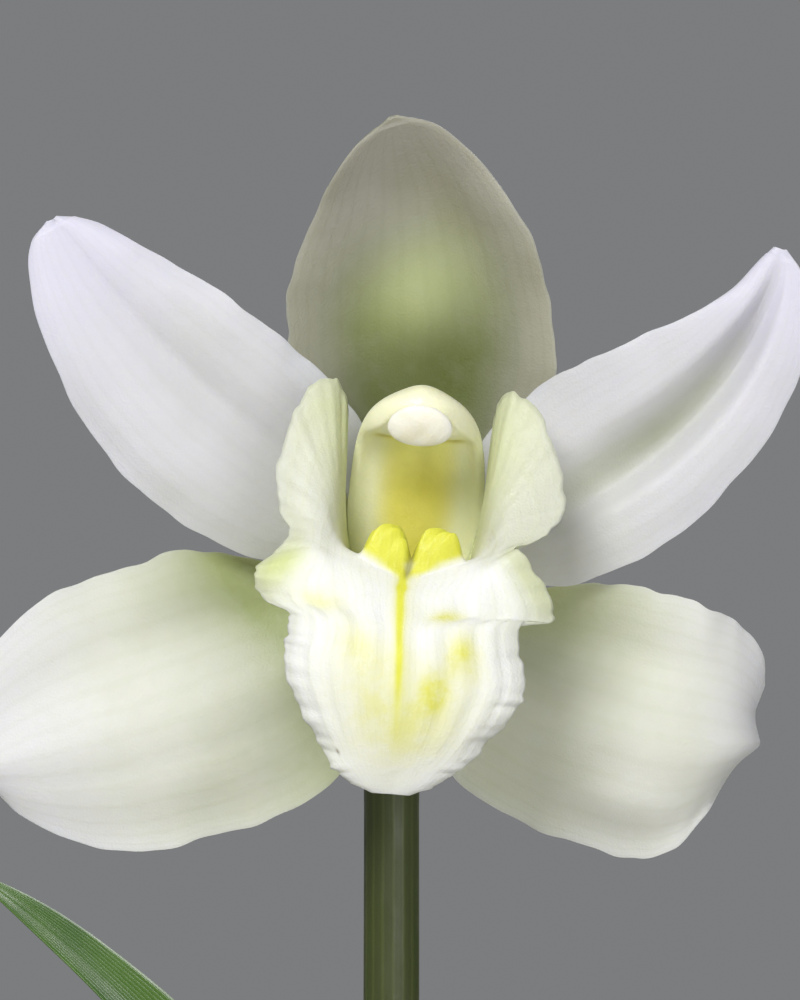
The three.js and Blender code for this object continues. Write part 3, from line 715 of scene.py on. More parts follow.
# spine: four control points. outline: where along the spine, and how far the piece reaches on each
# side of it, in mm: left and right for the dorsal sepal, lower and upper for the two on the left, and
# upper and lower for the two on the right. cup is how far the edges stand forward. relief adds to it,
# from t along and s across.
TEPALS = {
    "dorsal_sepal": {
        "spine": [(0, SEPAL_PLANE, 2), (0.5, -9, 20), (-0.5, -5, 42), (-6.4, 7, 57)],
        "outline": [
            (0, 2.5, 2.5), (0.12, 8.4, 8.4), (0.3, 15.2, 15.6), (0.48, 17.4, 17.6), (0.62, 16.9, 16.4),
            (0.76, 14.3, 13.6), (0.88, 10.4, 9.4), (0.96, 5.9, 5.2), (1, 0.6, 0.6),
        ],
        "cup": 6.2,
        "wave": 0.5,
        "seed": 3,
        "relief": lambda t, s: 0.5 * ridge(s, 0, 0.13) * smoothstep(t, 0.1, 0.4) * (1 - t)
        + 2.6 * ridge(s, 0.02, 0.36) * ridge(t, 0.55, 0.13)
        - 0.9 * ridge(s, 0.5, 0.2) * ridge(t, 0.68, 0.14)
        + 1.3 * ridge(s, 1, 0.25) * ridge(t, 0.72, 0.12),
    },
    "lateral_sepal_left": {
        "spine": [(-2.5, SEPAL_PLANE, -1.3), (-11, -6, -17), (-34, 5, -21), (-54, 2, -30)],
        "outline": [
            (0, 2.3, 2.3), (0.14, 9.4, 7.6), (0.3, 16.2, 14.6), (0.5, 18.6, 18.6), (0.68, 17.8, 18.8),
            (0.84, 14.2, 15.8), (0.95, 8, 9.6), (1, 1, 1),
        ],
        "cup": 1.2,
        "wave": 0.7,
        "seed": 5,
        "relief": lambda t, s: 2.6 * ridge(s, -0.12, 0.3) * smoothstep(t, 0.1, 0.35) * (1 - 0.5 * t)
        - 1.2 * ridge(s, 0.5, 0.25) * ridge(t, 0.55, 0.3)
        - 0.8 * smoothstep(s, 0.6, 1) * ridge(t, 0.55, 0.4)
        - 3.6 * smoothstep(-s, 0.45, 1) * ridge(t, 0.6, 0.35),
    },
    "lateral_sepal_right": {
        "spine": [(2.5, SEPAL_PLANE, -1.3), (12, -6, -20), (43, 8, -18.8), (46.6, -7, -19.4)],
        "outline": [
            (0, 2.3, 2.3), (0.14, 7.2, 9.3), (0.3, 13.8, 15.8), (0.48, 17, 17.8), (0.66, 17, 17.6),
            (0.75, 16.2, 15.4), (0.82, 15.4, 11.4), (0.9, 13.4, 7), (0.96, 11, 4.6), (1, 7.4, 3),
        ],
        "cup": 1,
        "wave": 0.7,
        "seed": 8,
        "relief": lambda t, s: 2.4 * ridge(s, 0.1, 0.28) * smoothstep(t, 0.1, 0.35) * (1 - 0.4 * t)
        - 1.4 * ridge(s, -0.5, 0.25) * ridge(t, 0.5, 0.3)
        + 1.8 * ridge(s, 0.6, 0.2) * ridge(t, 0.58, 0.12)
        - 5 * smoothstep(s, 0.2, 1) ** 1.3 * ridge(t, 0.55, 0.36),
    },
    "petal_left": {
        "spine": [(-1.8, PETAL_PLANE, 1), (-15, 1, 10), (-36, 9, 21), (-48.5, 8, 40.5)],
        "outline": [
            (0, 2.2, 2.2), (0.14, 7, 7.4), (0.32, 12, 12.2), (0.5, 13.8, 13.3), (0.68, 12.2, 11.8),
            (0.84, 9, 8.6), (0.94, 5.9, 5.4), (0.985, 3.4, 2.6), (1, 0.8, 0.8),
        ],
        "cup": 0.8,
        "wave": 0.6,
        "seed": 11,
        "relief": lambda t, s: -1.4 * ridge(s, 0.12, 0.2) * ridge(t, 0.55, 0.33)
        + 0.7 * ridge(s, -0.5, 0.3) * ridge(t, 0.5, 0.3)
        - 1.0 * smoothstep(np.abs(s), 0.7, 1) * ridge(t, 0.6, 0.3),
    },
    "petal_right": {
        "spine": [(1.8, PETAL_PLANE, 1), (17, 1, 10.8), (38, 9, 19.2), (44, 8, 44)],
        "outline": [
            (0, 2.2, 2.2), (0.14, 7, 7.4), (0.32, 11.8, 12.4), (0.48, 12.8, 12.8), (0.66, 10.6, 11.6),
            (0.8, 7, 9.6), (0.9, 3.8, 7), (0.97, 2, 3.8), (1, 0.8, 0.8),
        ],
        "cup": 0.8,
        "wave": 0.6,
        "seed": 14,
        "relief": lambda t, s: -4
        * np.where(s < 0.22, smoothstep(s, -0.4, 0.22), fade(s, 0.22, 0.5))
        * smoothstep(t, 0.22, 0.6)
        * fade(t, 0.78, 1)
        - 0.9 * smoothstep(s, 0.65, 1) * ridge(t, 0.5, 0.3),
    },
}


def tepal_grid(spec, rows, columns):
    """The middle surface of a sepal or petal in u, v, w, with t and s at each of its points."""
    t = 1 - (1 - np.linspace(0, 1, rows)) ** 1.35
    s = np.sin(np.linspace(-1, 1, columns) * math.pi / 2)
    centre, tangent = bezier(spec["spine"], t)
    viewer = np.array([0, 1.0, 0])
    facing = unit(viewer - tangent * (tangent @ viewer)[:, None])
    # u, v, w is left-handed, so this product points to the same side as in the frame's own sheets.
    sideways = np.cross(facing, tangent)
    stops, left, right = np.array(spec["outline"]).T
    left, right = through(stops, left, t), through(stops, right, t)
    broadest = max(left.max(), right.max())
    tt, ss = grid(t, s)
    reach = np.where(ss < 0, left[:, None], right[:, None])
    nicks = ripple(tt + np.where(ss < 0, 0.4, 0), spec["seed"], [(3, 1), (7, 0.7), (13, 0.3)])
    reach = reach * (1 + 0.012 * nicks * smoothstep(np.abs(ss), 0.4, 1))
    forward = spec["cup"] * (reach / broadest) ** 2 * ss**2 + spec["relief"](tt, ss)
    # A lazy wave along each margin.
    waves = ripple(tt + np.where(ss < 0, 0.37, 0), spec["seed"] + 1, [(1.6, 1), (3.7, 0.45), (8, 0.12)])
    forward = forward + spec["wave"] * waves * np.abs(ss) ** 2.5 * smoothstep(tt, 0.15, 0.5)
    middle = centre[:, None] + sideways[:, None] * (ss * reach)[..., None]
    middle = middle + facing[:, None] * forward[..., None]
    return middle, tt, ss


def make_tepal(name, material, slot, **masks):
    middle, t, s = tepal_grid(TEPALS[name], 130, 90)
    edge = np.maximum(np.sqrt(np.clip(1 - np.abs(s) ** 6, 0, 1)), 0.16)
    thickness = TEPAL_THICKNESS * (1 - 0.3 * s * s) * edge * np.where(t > 0.985, 0.5, 1)
    grids = {key: mask(t, s) for key, mask in masks.items()}
    piece = sheet_object(name, flower_to_row(middle, PLACE), thickness, grids)
    stand_for(piece, material, slot, name)


def make_tepals():
    petal = tepal_material(
        "petal_tissue", (220, 219, 224), (212, 212, 212), (219, 216, 233), (180, 184, 162)
    )
    sepal = tepal_material(
        "sepal_tissue", (228, 228, 220), (219, 220, 206), (225, 224, 230), (168, 178, 124)
    )
    # The dorsal sepal's tissue is a darker copy of the sepal tissue: painted shade for the sepal under its
    # hood.
    dorsal = tepal_material(
        "dorsal_sepal_shaded_tissue", (176, 174, 163), (160, 158, 144), (158, 156, 144), (100, 110, 52)
    )

    def tip(t, s):
        return smoothstep(t, 0.62, 1) * 0.8

    def base(t, s):
        return fade(t, 0.05, 0.55) * 0.75

    # The green base, and painted shade along the right petal's fold.
    def base_and_fold_shade(t, s):
        return base(t, s) * 0.6 + 0.95 * ridge(s, 0.04, 0.24) * ridge(t, 0.57, 0.26)

    # Green towards the left lateral sepal's base and upper half: partly its own green, and partly painted
    # shade on that half and near the lip.
    def upper(t, s):
        flush = fade(t, 0.1, 0.8) * (0.35 + 0.65 * smoothstep(s, -0.1, 0.8))
        return np.clip(flush + 0.9 * ridge(t, 0.2, 0.18), 0, 1)

    # Green towards the right lateral sepal's base and upper half: partly its own green, and partly painted
    # shade on that half and near the lip.
    def lower(t, s):
        return fade(t, 0.1, 0.7) * (0.35 + 0.65 * smoothstep(-s, -0.1, 0.8))

    # The dorsal sepal's lower middle is darker green: partly its own colour and partly painted shadow from
    # the column.
    def throat(t, s):
        return fade(t, 0.5, 0.85) * (1 - 0.85 * smoothstep(np.abs(s), 0.35, 0.95))

    # Painted light on the middle of the dorsal sepal.
    def painted_light_patch(t, s):
        return ridge(s, 0.02, 0.5) * ridge(t, 0.6 + 0.08 * s, 0.13)

    # Painted shade on the dorsal sepal's upper part, one patch on the right and one in the middle.
    def painted_shade_patches(t, s):
        right = ridge(s, 0.42, 0.26) * ridge(t, 0.78, 0.14)
        return right + 0.7 * ridge(s, -0.05, 0.3) * ridge(t, 0.86, 0.07)

    make_tepal("petal_left", petal, "petal", green=base, tipward=tip)
    make_tepal("petal_right", petal, "petal", green=base_and_fold_shade, tipward=tip)
    make_tepal("lateral_sepal_left", sepal, "sepal", green=upper, tipward=tip)
    make_tepal("lateral_sepal_right", sepal, "sepal", green=lower, tipward=tip)
    make_tepal("dorsal_sepal", dorsal, "sepal", green=throat, tipward=tip, bright=painted_light_patch, dusky=painted_shade_patches)


# ======== lip

# Each row of the lip, from its base in the petals' plane forward and down to its tip: the midline, the
# corner where the floor turns up, the fold where the wall flares, and the margins on the right and on
# the left. A row without its corner and fold has them on an even curve from the midline to the margin.
LIP_ROWS = [
    ((0, -2.4, -3.9), (1, -2.4, -3.8), (1.8, -2.4, -3.7), (2.6, -2.4, -3.5), (-2.6, -2.4, -3.5)),
    ((0, 4, -5), (5.4, 4, -4.4), (8.4, 3.6, 1), (9.3, 2.6, 9), (-8.9, 2.6, 9)),
    ((0, 9, -3.6), (6.6, 9, -2.6), (8.9, 8.6, 6), (9.5, 7.6, 16.6), (-9.1, 7.6, 15.5)),
    ((0, 12.5, -2.2), (7.2, 12.5, -1), (9.2, 11.6, 9), (9.7, 10.2, 21.4), (-9.3, 10.2, 20.5)),
    ((0, 15, -1.1), (7.6, 15, 0.3), (9.8, 13.6, 10.5), (11.5, 12.2, 22.9), (-11.3, 11.8, 23)),
    ((0, 16.8, -0.4), (8, 16.8, 1.1), (10.8, 15.2, 10.5), (14.7, 13.6, 20.9), (-14.2, 13.2, 21.4)),
    ((0, 18, 0), (8.3, 18, 1.6), (11.8, 16.6, 9), (17.2, 15.2, 15.7), (-16.1, 14.5, 16.8)),
    ((0, 19, 0.1), (8.5, 19, 1.7), (12.2, 17.9, 7), (18.8, 17, 10), (-17.2, 16, 10.9)),
    ((0, 19.8, -0.1), (8.4, 19.9, 1.4), (12.2, 19.2, 4.8), (17.3, 18.8, 6.2), (-16.4, 17.7, 6.2)),
    ((-0.3, 20.6, -0.9), (7.6, 20.8, 0.7), (11, 20.9, 2.4), (13.1, 21, 3.8), (-14.9, 20.4, 2.9)),
    ((-0.5, 22, -1.9), (7.4, 22.2, -0.6), (11, 22.3, 0.8), (14.5, 22, 2.3), (-17.9, 21, -0.5)),
    ((-0.6, 23.8, -3.5), (17.6, 21.5, -2.1), (-18.6, 21.5, -2.7)),
    ((-0.5, 25.5, -5.5), (18, 21.5, -5), (-17.3, 22, -5)),
    ((-0.4, 26.8, -7.6), (14.1, 24, -5.5), (-14.2, 23.8, -6.2)),
    ((-0.2, 27.8, -10.2), (14.4, 25.2, -9.2), (-13.9, 24.6, -8.4)),
    ((-0.1, 28.3, -13.3), (15.2, 25.4, -13.4), (-14.3, 25.2, -10.6)),
    ((0, 28.3, -16.2), (13.9, 25.4, -16.2), (-13.3, 25.3, -14.5)),
    ((0.1, 27.8, -18.9), (12.1, 25.2, -19.1), (-11.1, 25.1, -18.5)),
    ((0.1, 27, -21.3), (9.8, 24.9, -21.8), (-9.2, 24.8, -21.8)),
    ((0, 26, -23.5), (7.4, 24.6, -24.1), (-7.2, 24.6, -24.3)),
    ((0, 25, -25.4), (5.1, 24.3, -25.9), (-5.2, 24.3, -26)),
    ((0, 24.1, -27), (2.6, 23.9, -27), (-2.7, 23.9, -27)),
]
LIP_THICKNESS = 0.9
LIP_BULGE = 0.9  # how far the middle lobe swells forward between its midline and its margins


def lip_rails():
    """Seven rails from the left margin to the right one."""
    rails = [[] for _ in range(7)]
    for row in LIP_ROWS:
        middle, *wall, right, left = (np.array(point, float) for point in row)
        for side, margin in ((-1, left), (1, right)):
            if not wall:
                bulge = LIP_BULGE * min(1, abs(margin[0]) / 12)
                inner = lerp(middle, margin, 0.38) + [0, bulge * 0.8, 0]
                outer = lerp(middle, margin, 0.74) + [0, bulge, 0]
            else:
                # The left wall keeps the same shape, as wide as its own margin.
                share = 1 if side > 0 else lerp(1, left[0] / -right[0], 0.5)
                inner, outer = (point * [side * share, 1, 1] for point in wall)
            rails[3 + side].append(inner)
            rails[3 + 2 * side].append(outer)
            rails[3 + 3 * side].append(margin)
        rails[3].append(middle)
    return np.array(rails)


def lip_grid(rows, columns):
    t = np.linspace(0, 1, rows)
    s = np.linspace(-1, 1, columns)
    s = s * (0.55 + 0.45 * s * s)
    sections = np.stack([catmull(rail, t) for rail in lip_rails()])
    middle = np.moveaxis(catmull(sections, (s + 1) / 2), 0, 1)
    tt, ss = grid(t, s)
    return middle, tt, ss


def make_lip():
    middle, t, s = lip_grid(300, 150)
    normal = sheet_normal(middle)
    margin = np.abs(s)
    # The margin is crimped, most round the middle lobe, and smooth where an ear meets that lobe.
    crimp = np.where(
        s < 0,
        ripple(t, 21, [(7, 0.8), (13, 0.6), (24, 0.35), (41, 0.25)]),
        ripple(t, 34, [(7, 0.8), (12, 0.6), (26, 0.35), (39, 0.25)]),
    )
    height = lerp(0.16, 0.28, smoothstep(t, 0.38, 0.48)) * fade(t, 0.9, 1) * smoothstep(t, 0, 0.1)
    height = height * (1 - 0.85 * ridge(t, 0.6, 0.07))
    middle = middle + normal * (crimp * height * smoothstep(margin, 0.55, 1))[..., None]
    # Its outline is a little ragged.
    nicks = np.where(
        s < 0,
        ripple(t, 51, [(19, 1), (33, 0.7), (55, 0.4)]),
        ripple(t, 64, [(18, 1), (35, 0.7), (52, 0.4)]),
    )
    nicks = nicks * smoothstep(margin, 0.75, 1) * smoothstep(t, 0.08, 0.2) * fade(t, 0.95, 1)
    outward = unit(np.gradient(middle, axis=1)) * np.sign(s)[..., None]
    middle = middle + outward * (0.14 * nicks)[..., None]
    # Shallow furrows on the middle lobe.
    lobe = smoothstep(t, 0.45, 0.6) * fade(t, 0.72, 0.9) * fade(margin, 0.6, 0.95)
    furrows = 0.13 * np.cos(s * 9 * math.pi + 0.5 * np.sin(t * 9)) * lobe
    middle = middle + normal * furrows[..., None]
    # Two fleshy keels run along the floor and end in tall pads in front of the column, which run out
    # on the midline.
    closing = smoothstep(t, 0.38, 0.46)
    beside = np.abs(s - 0.012)
    across = (beside - lerp(0.12, 0.035, closing)) / lerp(0.112, 0.03, closing)
    across = np.exp(-(across**6))
    keel = 0.9 * smoothstep(t, 0.08, 0.2) * fade(t, 0.4, 0.47)
    pad = 3.4 * smoothstep(t, 0.2, 0.3) * fade(t, 0.345, 0.43) ** 0.8
    lumps = 1 + 0.07 * ripple(t * 3 + s * 2, 5, [(3, 1), (7, 0.6)])
    crown = 1 - 0.2 * ((beside - 0.1) / 0.1) ** 2
    rise = across * (keel + pad * np.clip(crown, 0, 1)) * lumps
    thickness = LIP_THICKNESS * np.maximum(np.sqrt(1 - margin**3), 0.25)

    def spot(along_place, across_place, length, breadth):
        return ridge(t, along_place, length) * ridge(s, across_place, breadth)

    ends = across * smoothstep(t, 0.3, 0.36) * fade(t, 0.43, 0.47)
    pads = np.maximum(smoothstep(rise, 0.2, 1.3), ends)
    line = (0.9 * ridge(s, -0.004, 0.026) + 0.3 * ridge(s, 0, 0.07)) * smoothstep(t, 0.42, 0.47)
    line = line * fade(t, 0.66, 0.86)
    foot = 0.7 * spot(0.8, 0.02, 0.1, 0.5) + 0.25 * spot(0.7, -0.12, 0.06, 0.3)
    smudges = (
        0.9 * spot(0.58, 0.27, 0.022, 0.09)
        + 0.95 * spot(0.67, 0.45, 0.035, 0.12)
        + 0.95 * spot(0.73, 0.26, 0.035, 0.1)
        + 0.45 * spot(0.665, -0.36, 0.05, 0.14)
        + 0.45 * spot(0.56, -0.5, 0.03, 0.16)
    )
    throat = fade(t, 0.1, 0.36)
    # Painted shade on the side walls, more on the right one.
    wall_shade = smoothstep(margin, 0.3, 0.55) * fade(t, 0.38, 0.5)
    ears = smoothstep(margin, 0.6, 0.9) * ridge(t, 0.5, 0.09)
    grids = {
        "yellow": pads + line + 0.6 * spot(0.5, 0, 0.012, 0.03),
        "patch": foot + smudges,
        "green": 0.5 * throat + 0.5 * spot(0.49, -0.8, 0.035, 0.16) + 0.35 * ears,
        "grey": wall_shade * np.where(s > 0, 1, 0.8) + 0.7 * ears + 0.5 * smoothstep(margin, 0.8, 1),
        # The groove between the keels carries painted shade.
        "groove": ridge(s, 0.012, 0.022) * smoothstep(t, 0.1, 0.2) * fade(t, 0.43, 0.48),
        "speck": spot(0.868, -0.69, 0.006, 0.02),
    }
    # Turned round so that the upper side is the front. The pads stand straight up.
    grids = {key: np.clip(values, 0, 1)[:, ::-1] for key, values in grids.items()}
    rise = rise[:, ::-1, None] * flower_to_row([0, 0.12, 1], 0)
    piece = sheet_object("lip", flower_to_row(middle, PLACE)[:, ::-1], thickness, grids, rise)
    stand_for(piece, lip_material(), "lip", "lip")


# ======== stalk, ovary and bracts

OVARY_FOOT = (0.5, -22, -34)
OVARY_RADIUS = 3.7
SCAPE_RADIUS = 3.9
SCAPE_OFFSET = (4, 1.5)  # where it starts: right of the front bulb's middle, and before its face
SCAPE_RISE = 8  # and above the bark
SCAPE_BOW = 26  # how far forward and up it heads as it leaves the bulb
SCAPE_STRAIGHT = 90  # how far below the ovary it is still aimed upright
BULBS = {name: {"seed": seed} for name, seed in (("front", 2), ("rear", 4), ("old", 6))}
for key, bulb in BULBS.items():
    bulb_low, bulb_high = box_mm(f"pseudobulb_{key}")
    bulb["centre"] = (bulb_low + bulb_high) / 2
    bulb["bottom"] = bulb_low[2]
    bulb["width"], bulb["depth"], bulb["height"] = bulb_high - bulb_low


def scape_path(t):
    """The middle of the stalk, from the front bulb's face up to the ovary, and its tangents."""
    bulb = BULBS["front"]
    x, y, _ = bulb["centre"]
    right, before = SCAPE_OFFSET
    start = np.array([x + right, y - bulb["depth"] / 2 - before, BARK_TOP + SCAPE_RISE])
    top = flower_to_row(OVARY_FOOT, PLACE) - [0, 0, 0.3]
    return bezier([start, start + [0, -SCAPE_BOW, SCAPE_BOW], top - [0, 0, SCAPE_STRAIGHT], top], t)


def scape_radius(share):
    return SCAPE_RADIUS * lerp(1.1, 0.98, share)


def make_stalk():
    """The stalk and the ribbed ovary that it swells into behind the flower, as one piece."""
    t = np.linspace(0, 1, 260)
    bend = np.linspace(0.01, 1, 100)
    foot = np.array(OVARY_FOOT, float)
    head = np.array([0, SEPAL_PLANE - 1.15, 0])
    up = np.array([-math.sin(FLOWER_ROLL), 0, math.cos(FLOWER_ROLL)])
    lower, _ = scape_path(t)
    upper, _ = bezier([foot, foot + 17 * up, head - [0, 13, 0], head], bend)
    curve = np.concatenate([lower, flower_to_row(upper, PLACE)])
    radius = scape_radius(t)
    # The stalk thickens a little at each joint under a bract.
    for at, _, _ in BRACTS:
        radius = radius * (1 + 0.05 * ridge(t, at, 0.012))
    swell = lerp(scape_radius(1), OVARY_RADIUS, bend) * (1 + 0.08 * np.sin(math.pi * bend))
    ribbed = np.concatenate([0 * t, smoothstep(bend, 0, 0.4)])[:, None]

    def lobe(a):
        return 1 + ribbed * (0.05 * np.cos(3 * a) + 0.03 * np.cos(6 * a + 0.4)) + 0.006 * np.cos(8 * a)

    rings = rod_rings(curve, np.concatenate([radius, swell]), 72, lobe)
    pale = np.concatenate([0 * t, 0.9 * smoothstep(bend, 0.2, 1)])
    piece = ring_object("flower_stalk", rings, {"pale": np.repeat(pale[:, None], 72, axis=1)})
    stand_for(piece, stalk_material(), "stalk", "flower_stalk", "ovary")


BRACT_THICKNESS = 0.8
# Where along the stalk each bract sits, its length, and the degrees that it is turned round it.
BRACTS = [(0.05, 28, 20), (0.15, 36, 190), (0.31, 40, 40), (0.49, 42, 215), (0.68, 40, 10)]


def make_bracts():
    curve, _ = scape_path(np.linspace(0, 1, 400))
    lengths = running(np.linalg.norm(np.diff(curve, axis=0, append=curve[-1:]), axis=1))
    total = lengths[-1]
    tangent, side = turning_frame(curve)
    material = bract_material()
    t = np.linspace(0, 1, 70)
    tt, ss = grid(t, np.linspace(-1, 1, 60))
    wrap = np.radians(lerp(155, 10, smoothstep(t, 0.15, 1) ** 1.2))
    for number, (at, length, turn) in enumerate(BRACTS, 1):
        place = np.clip(at * total + length * t, 0, total)
        index = np.clip(np.searchsorted(lengths, place), 0, len(curve) - 1)
        out = side[index][:, None]
        other = np.cross(tangent[index], side[index])[:, None]
        angle = (math.radians(turn) + ss * wrap[:, None])[..., None]
        reach = scape_radius(at + length / total * t) + 1 + 3.6 * smoothstep(t, 0.35, 1) ** 1.3
        reach = reach[:, None] + 0.25 * ripple(tt, number * 3, [(2, 1)]) * np.abs(ss) ** 3
        middle = curve[index][:, None] + (out * np.cos(angle) + other * np.sin(angle)) * reach[..., None]
        thickness = BRACT_THICKNESS * (1 - 0.6 * ss**4) * lerp(1, 0.5, tt)
        dry = smoothstep(tt, 0.8, 1) * 0.8 + 0.5 * smoothstep(np.abs(ss), 0.85, 1)
        name = f"stalk_bract_{number}"
        piece = sheet_object(name, middle, thickness, {"dry": np.clip(dry, 0, 1)})
        stand_for(piece, material, "bract", name)


# ======== leaves

LEAF_WIDTH = 15
LEAF_THICKNESS = 0.75
LEAF_FOOT = 0.62  # how broad a blade is at its foot, as a share of its width
LEAF_TAPER = 0.55  # where along the blade it starts to narrow to its point
LEAF_FOLDS = (0.14, 0.3)  # how steeply a blade folds at its foot and further up
LEAF_PITCH = 3.4  # between neighbouring leaves where they leave the bulb
LEAF_TWIST = 38  # degrees that a blade's upper face turns to the front by its tip
# From the middle of a fan outwards: a blade's length, and the degrees that it spreads and droops.
LEAF_RANKS = [(128, 3, 10), (200, 19, 44), (246, 31, 66), (262, 43, 78), (214, 56, 84)]
# The bulb, its pairs of leaves, the degrees that the last pair is turned, and how far back tips lean.
FANS = [("front", 4, -7, -9), ("rear", 3, 9, 27)]


def bulb_share(share):
    """How broad a bulb is at a share of its height, against its greatest breadth."""
    return np.sin(math.pi * share**0.72) ** 0.62


def midrib(bulb, rank, t):
    """How far out and how high a blade's middle is, and how far it is tilted from upright."""
    length, spread, droop = LEAF_RANKS[rank]
    out = rank * LEAF_PITCH
    heights = np.arange(bulb["height"], 0, -0.05)
    shoulder = bulb["width"] / 2 * bulb_share(heights / bulb["height"])
    seat = bulb["height"] + 0.6 if rank == 0 else heights[np.argmax(shoulder >= out - 0.85)] + 0.3
    tilt = np.radians(spread * smoothstep(t, 0, 0.45) + droop * t**1.8)
    step = np.gradient(t) * length
    return out + running(np.sin(tilt) * step), bulb["bottom"] + seat + running(np.cos(tilt) * step), tilt


def make_leaf(number, bulb, side, rank, turn, lean, material):
    t = np.linspace(0, 1, 150)
    tt, ss = grid(t, np.linspace(-1, 1, 22))
    x, z, tilt = midrib(bulb, rank, t)
    foot = lerp(LEAF_FOOT, 1, smoothstep(t, 0, 0.35))
    taper = np.clip((t - LEAF_TAPER) / (1 - LEAF_TAPER), 0, 1)
    half = LEAF_WIDTH / 2 * foot * np.maximum(np.clip(1 - taper**2.2, 0, 1) ** 0.75, 0.02)
    half = half * (1 + 0.02 * ripple(t, number, [(2, 1), (5, 0.5)]))
    fold = lerp(*LEAF_FOLDS, smoothstep(t, 0.1, 0.3)) * (1 - 0.5 * t)
    twist = np.radians(LEAF_TWIST * smoothstep(t, 0.25, 1))
    valley = np.sqrt(ss**2 + 0.012) - math.sqrt(0.012)
    rise = half[:, None] * (valley * (fold * np.cos(twist))[:, None] + ss * np.sin(twist)[:, None])
    # A gentle wave along the blade.
    rise = rise + 0.35 * ripple(tt, number + 50, [(2.5, 1), (6, 0.3)]) * ss * smoothstep(tt, 0.2, 0.5)
    out = x[:, None] - np.cos(tilt)[:, None] * rise
    back = lean * tt**2 + ss * (half * np.cos(twist))[:, None]
    across = side * (out * math.cos(turn) - back * math.sin(turn) * tt)
    height = z[:, None] + np.sin(tilt)[:, None] * rise
    middle = np.stack([across, back + out * math.sin(turn) * tt, height], axis=-1)
    middle = middle + [*bulb["centre"][:2], 0]
    if side > 0:
        middle = middle[:, ::-1]
    # The midrib and the main veins stand out a little.
    ribs = 0.12 * np.cos(ss * 5 * math.pi) ** 2 + 0.3 * ridge(ss, 0, 0.1)
    thickness = (LEAF_THICKNESS + ribs) * (1 - 0.55 * ss**6) * lerp(1.1, 0.7, tt)
    dry = smoothstep(tt, random.Random(number).uniform(0.955, 0.985), 1)
    name = f"leaf_{number:02d}"
    piece = sheet_object(name, middle, thickness, {"pale": fade(tt, 0.02, 0.22), "dry": dry})
    stand_for(piece, material, "leaf", name)


def make_leaves():
    material = leaf_material()
    number = 1
    for key, pairs, turn, lean in FANS:
        for rank in range(pairs + 1):
            for side in [1] if rank == 0 else [-1, 1]:
                make_leaf(number, BULBS[key], side, rank, math.radians(turn * rank / pairs), lean, material)
                number += 1


# ======== bulbs, rhizome and roots


def make_bulbs():
    green = bulb_material("bulb_skin", (112, 132, 66), (148, 160, 90), 0.9)
    old = bulb_material("old_bulb_skin", (138, 138, 78), (164, 156, 96), 1)
    share = (1 - np.cos(np.linspace(0.012, 1 - 0.006, 110) * math.pi)) / 2
    angle = circle(120)
    share, around = grid(share, angle / (2 * math.pi))
    for key, bulb in BULBS.items():
        aged = key == "old"
        lobes = ripple(around, bulb["seed"], [(9, 0.5), (14, 0.35), (23, 0.2)])
        # Each old leaf left a low ring.
        rings_left = 0.012 * np.sin(share * 2 * math.pi * 6) ** 8
        swell = 1 + (0.045 if aged else 0.022) * lobes * np.sin(math.pi * share) + rings_left
        reach = bulb["width"] / 2 * bulb_share(share) * swell
        points = turned(reach, share * bulb["height"], angle) * [1, bulb["depth"] / bulb["width"], 1]
        points = points + [*bulb["centre"][:2], bulb["bottom"]]
        edge = ripple(around, bulb["seed"] + 9, [(3, 0.06), (7, 0.03)])
        dry = smoothstep(fade(share, 0.32, 0.55) + edge, 0.35, 0.75)
        if aged:
            dry = np.maximum(dry, 0.55)
        name = f"pseudobulb_{key}"
        stand_for(ring_object(name, points, {"dry": dry}), old if aged else green, "bulb", name)


def make_rhizomes():
    material = bulb_material("rhizome_skin", (150, 132, 84), (120, 104, 62), 1)
    t = np.linspace(0.22, 0.78, 60)
    radius = RHIZOME_RADIUS * (1 + 0.05 * np.abs(np.sin(t * 2 * math.pi * 5)))
    for name, *ends in (("rhizome_left", "old", "front"), ("rhizome_right", "front", "rear")):
        start, end = (np.array([*BULBS[key]["centre"][:2], BARK_TOP - 1]) for key in ends)
        curve = start + (end - start) * t[:, None]
        curve[:, 2] += 3 * t * (1 - t)
        rings = rod_rings(curve, radius, 40)
        piece = ring_object(name, rings, {"dry": np.full(rings.shape[:2], 0.8)})
        stand_for(piece, material, "bulb", name)


# The bulb that each root leaves, its heading in degrees, and how far and how high it arches.
ROOTS = [
    ("front", 215, 32, 9),
    ("front", 335, 28, 7),
    ("rear", 328, 16, 8),
    ("rear", 95, 11, 7),
    ("old", 235, 13, 8),
]
ROOT_RADIUS = 2.1
RHIZOME_RADIUS = 4.4


def make_roots():
    material = root_material()
    t = np.linspace(0, 1, 90)
    for number, (key, heading, reach, height) in enumerate(ROOTS, 1):
        bulb = BULBS[key]
        angle = math.radians(heading)
        out = np.array([math.cos(angle), math.sin(angle), 0])
        start = bulb["depth"] / 2 - 3
        stops = [
            (start, BARK_TOP + 6),
            (start + reach * 0.45, BARK_TOP + 8 + height),
            (start + reach, BARK_TOP + height),
            (start + reach + 3, BARK_TOP - 7),
        ]
        curve, _ = bezier([[*bulb["centre"][:2], z] + out * distance for distance, z in stops], t)
        wander = ripple(t, number, [(1.5, 0.5), (3.5, 0.25)]) * np.sin(math.pi * t)
        curve = curve + np.cross(out, [0, 0, 1]) * wander[:, None]
        radius = ROOT_RADIUS * (1 - 0.15 * t) * (1 + 0.04 * ripple(t, number + 5, [(7, 1), (13, 0.6)]))
        name = f"root_{number}"
        stand_for(ring_object(name, rod_rings(curve, radius, 32)), material, "root", name)


# ======== pot and bark


def pot_radius(z):
    return lerp(POT_FOOT_RADIUS, POT_RIM_RADIUS, z / POT_HEIGHT)


def bore_radius(z):
    return pot_radius(z) - POT_WALL


def arc(centre_r, centre_z, radius, start, end, steps=8):
    """Points round an edge, between two angles in degrees."""
    angles = np.radians(np.linspace(start, end, steps))
    return [(centre_r + radius * math.cos(a), centre_z + radius * math.sin(a)) for a in angles]


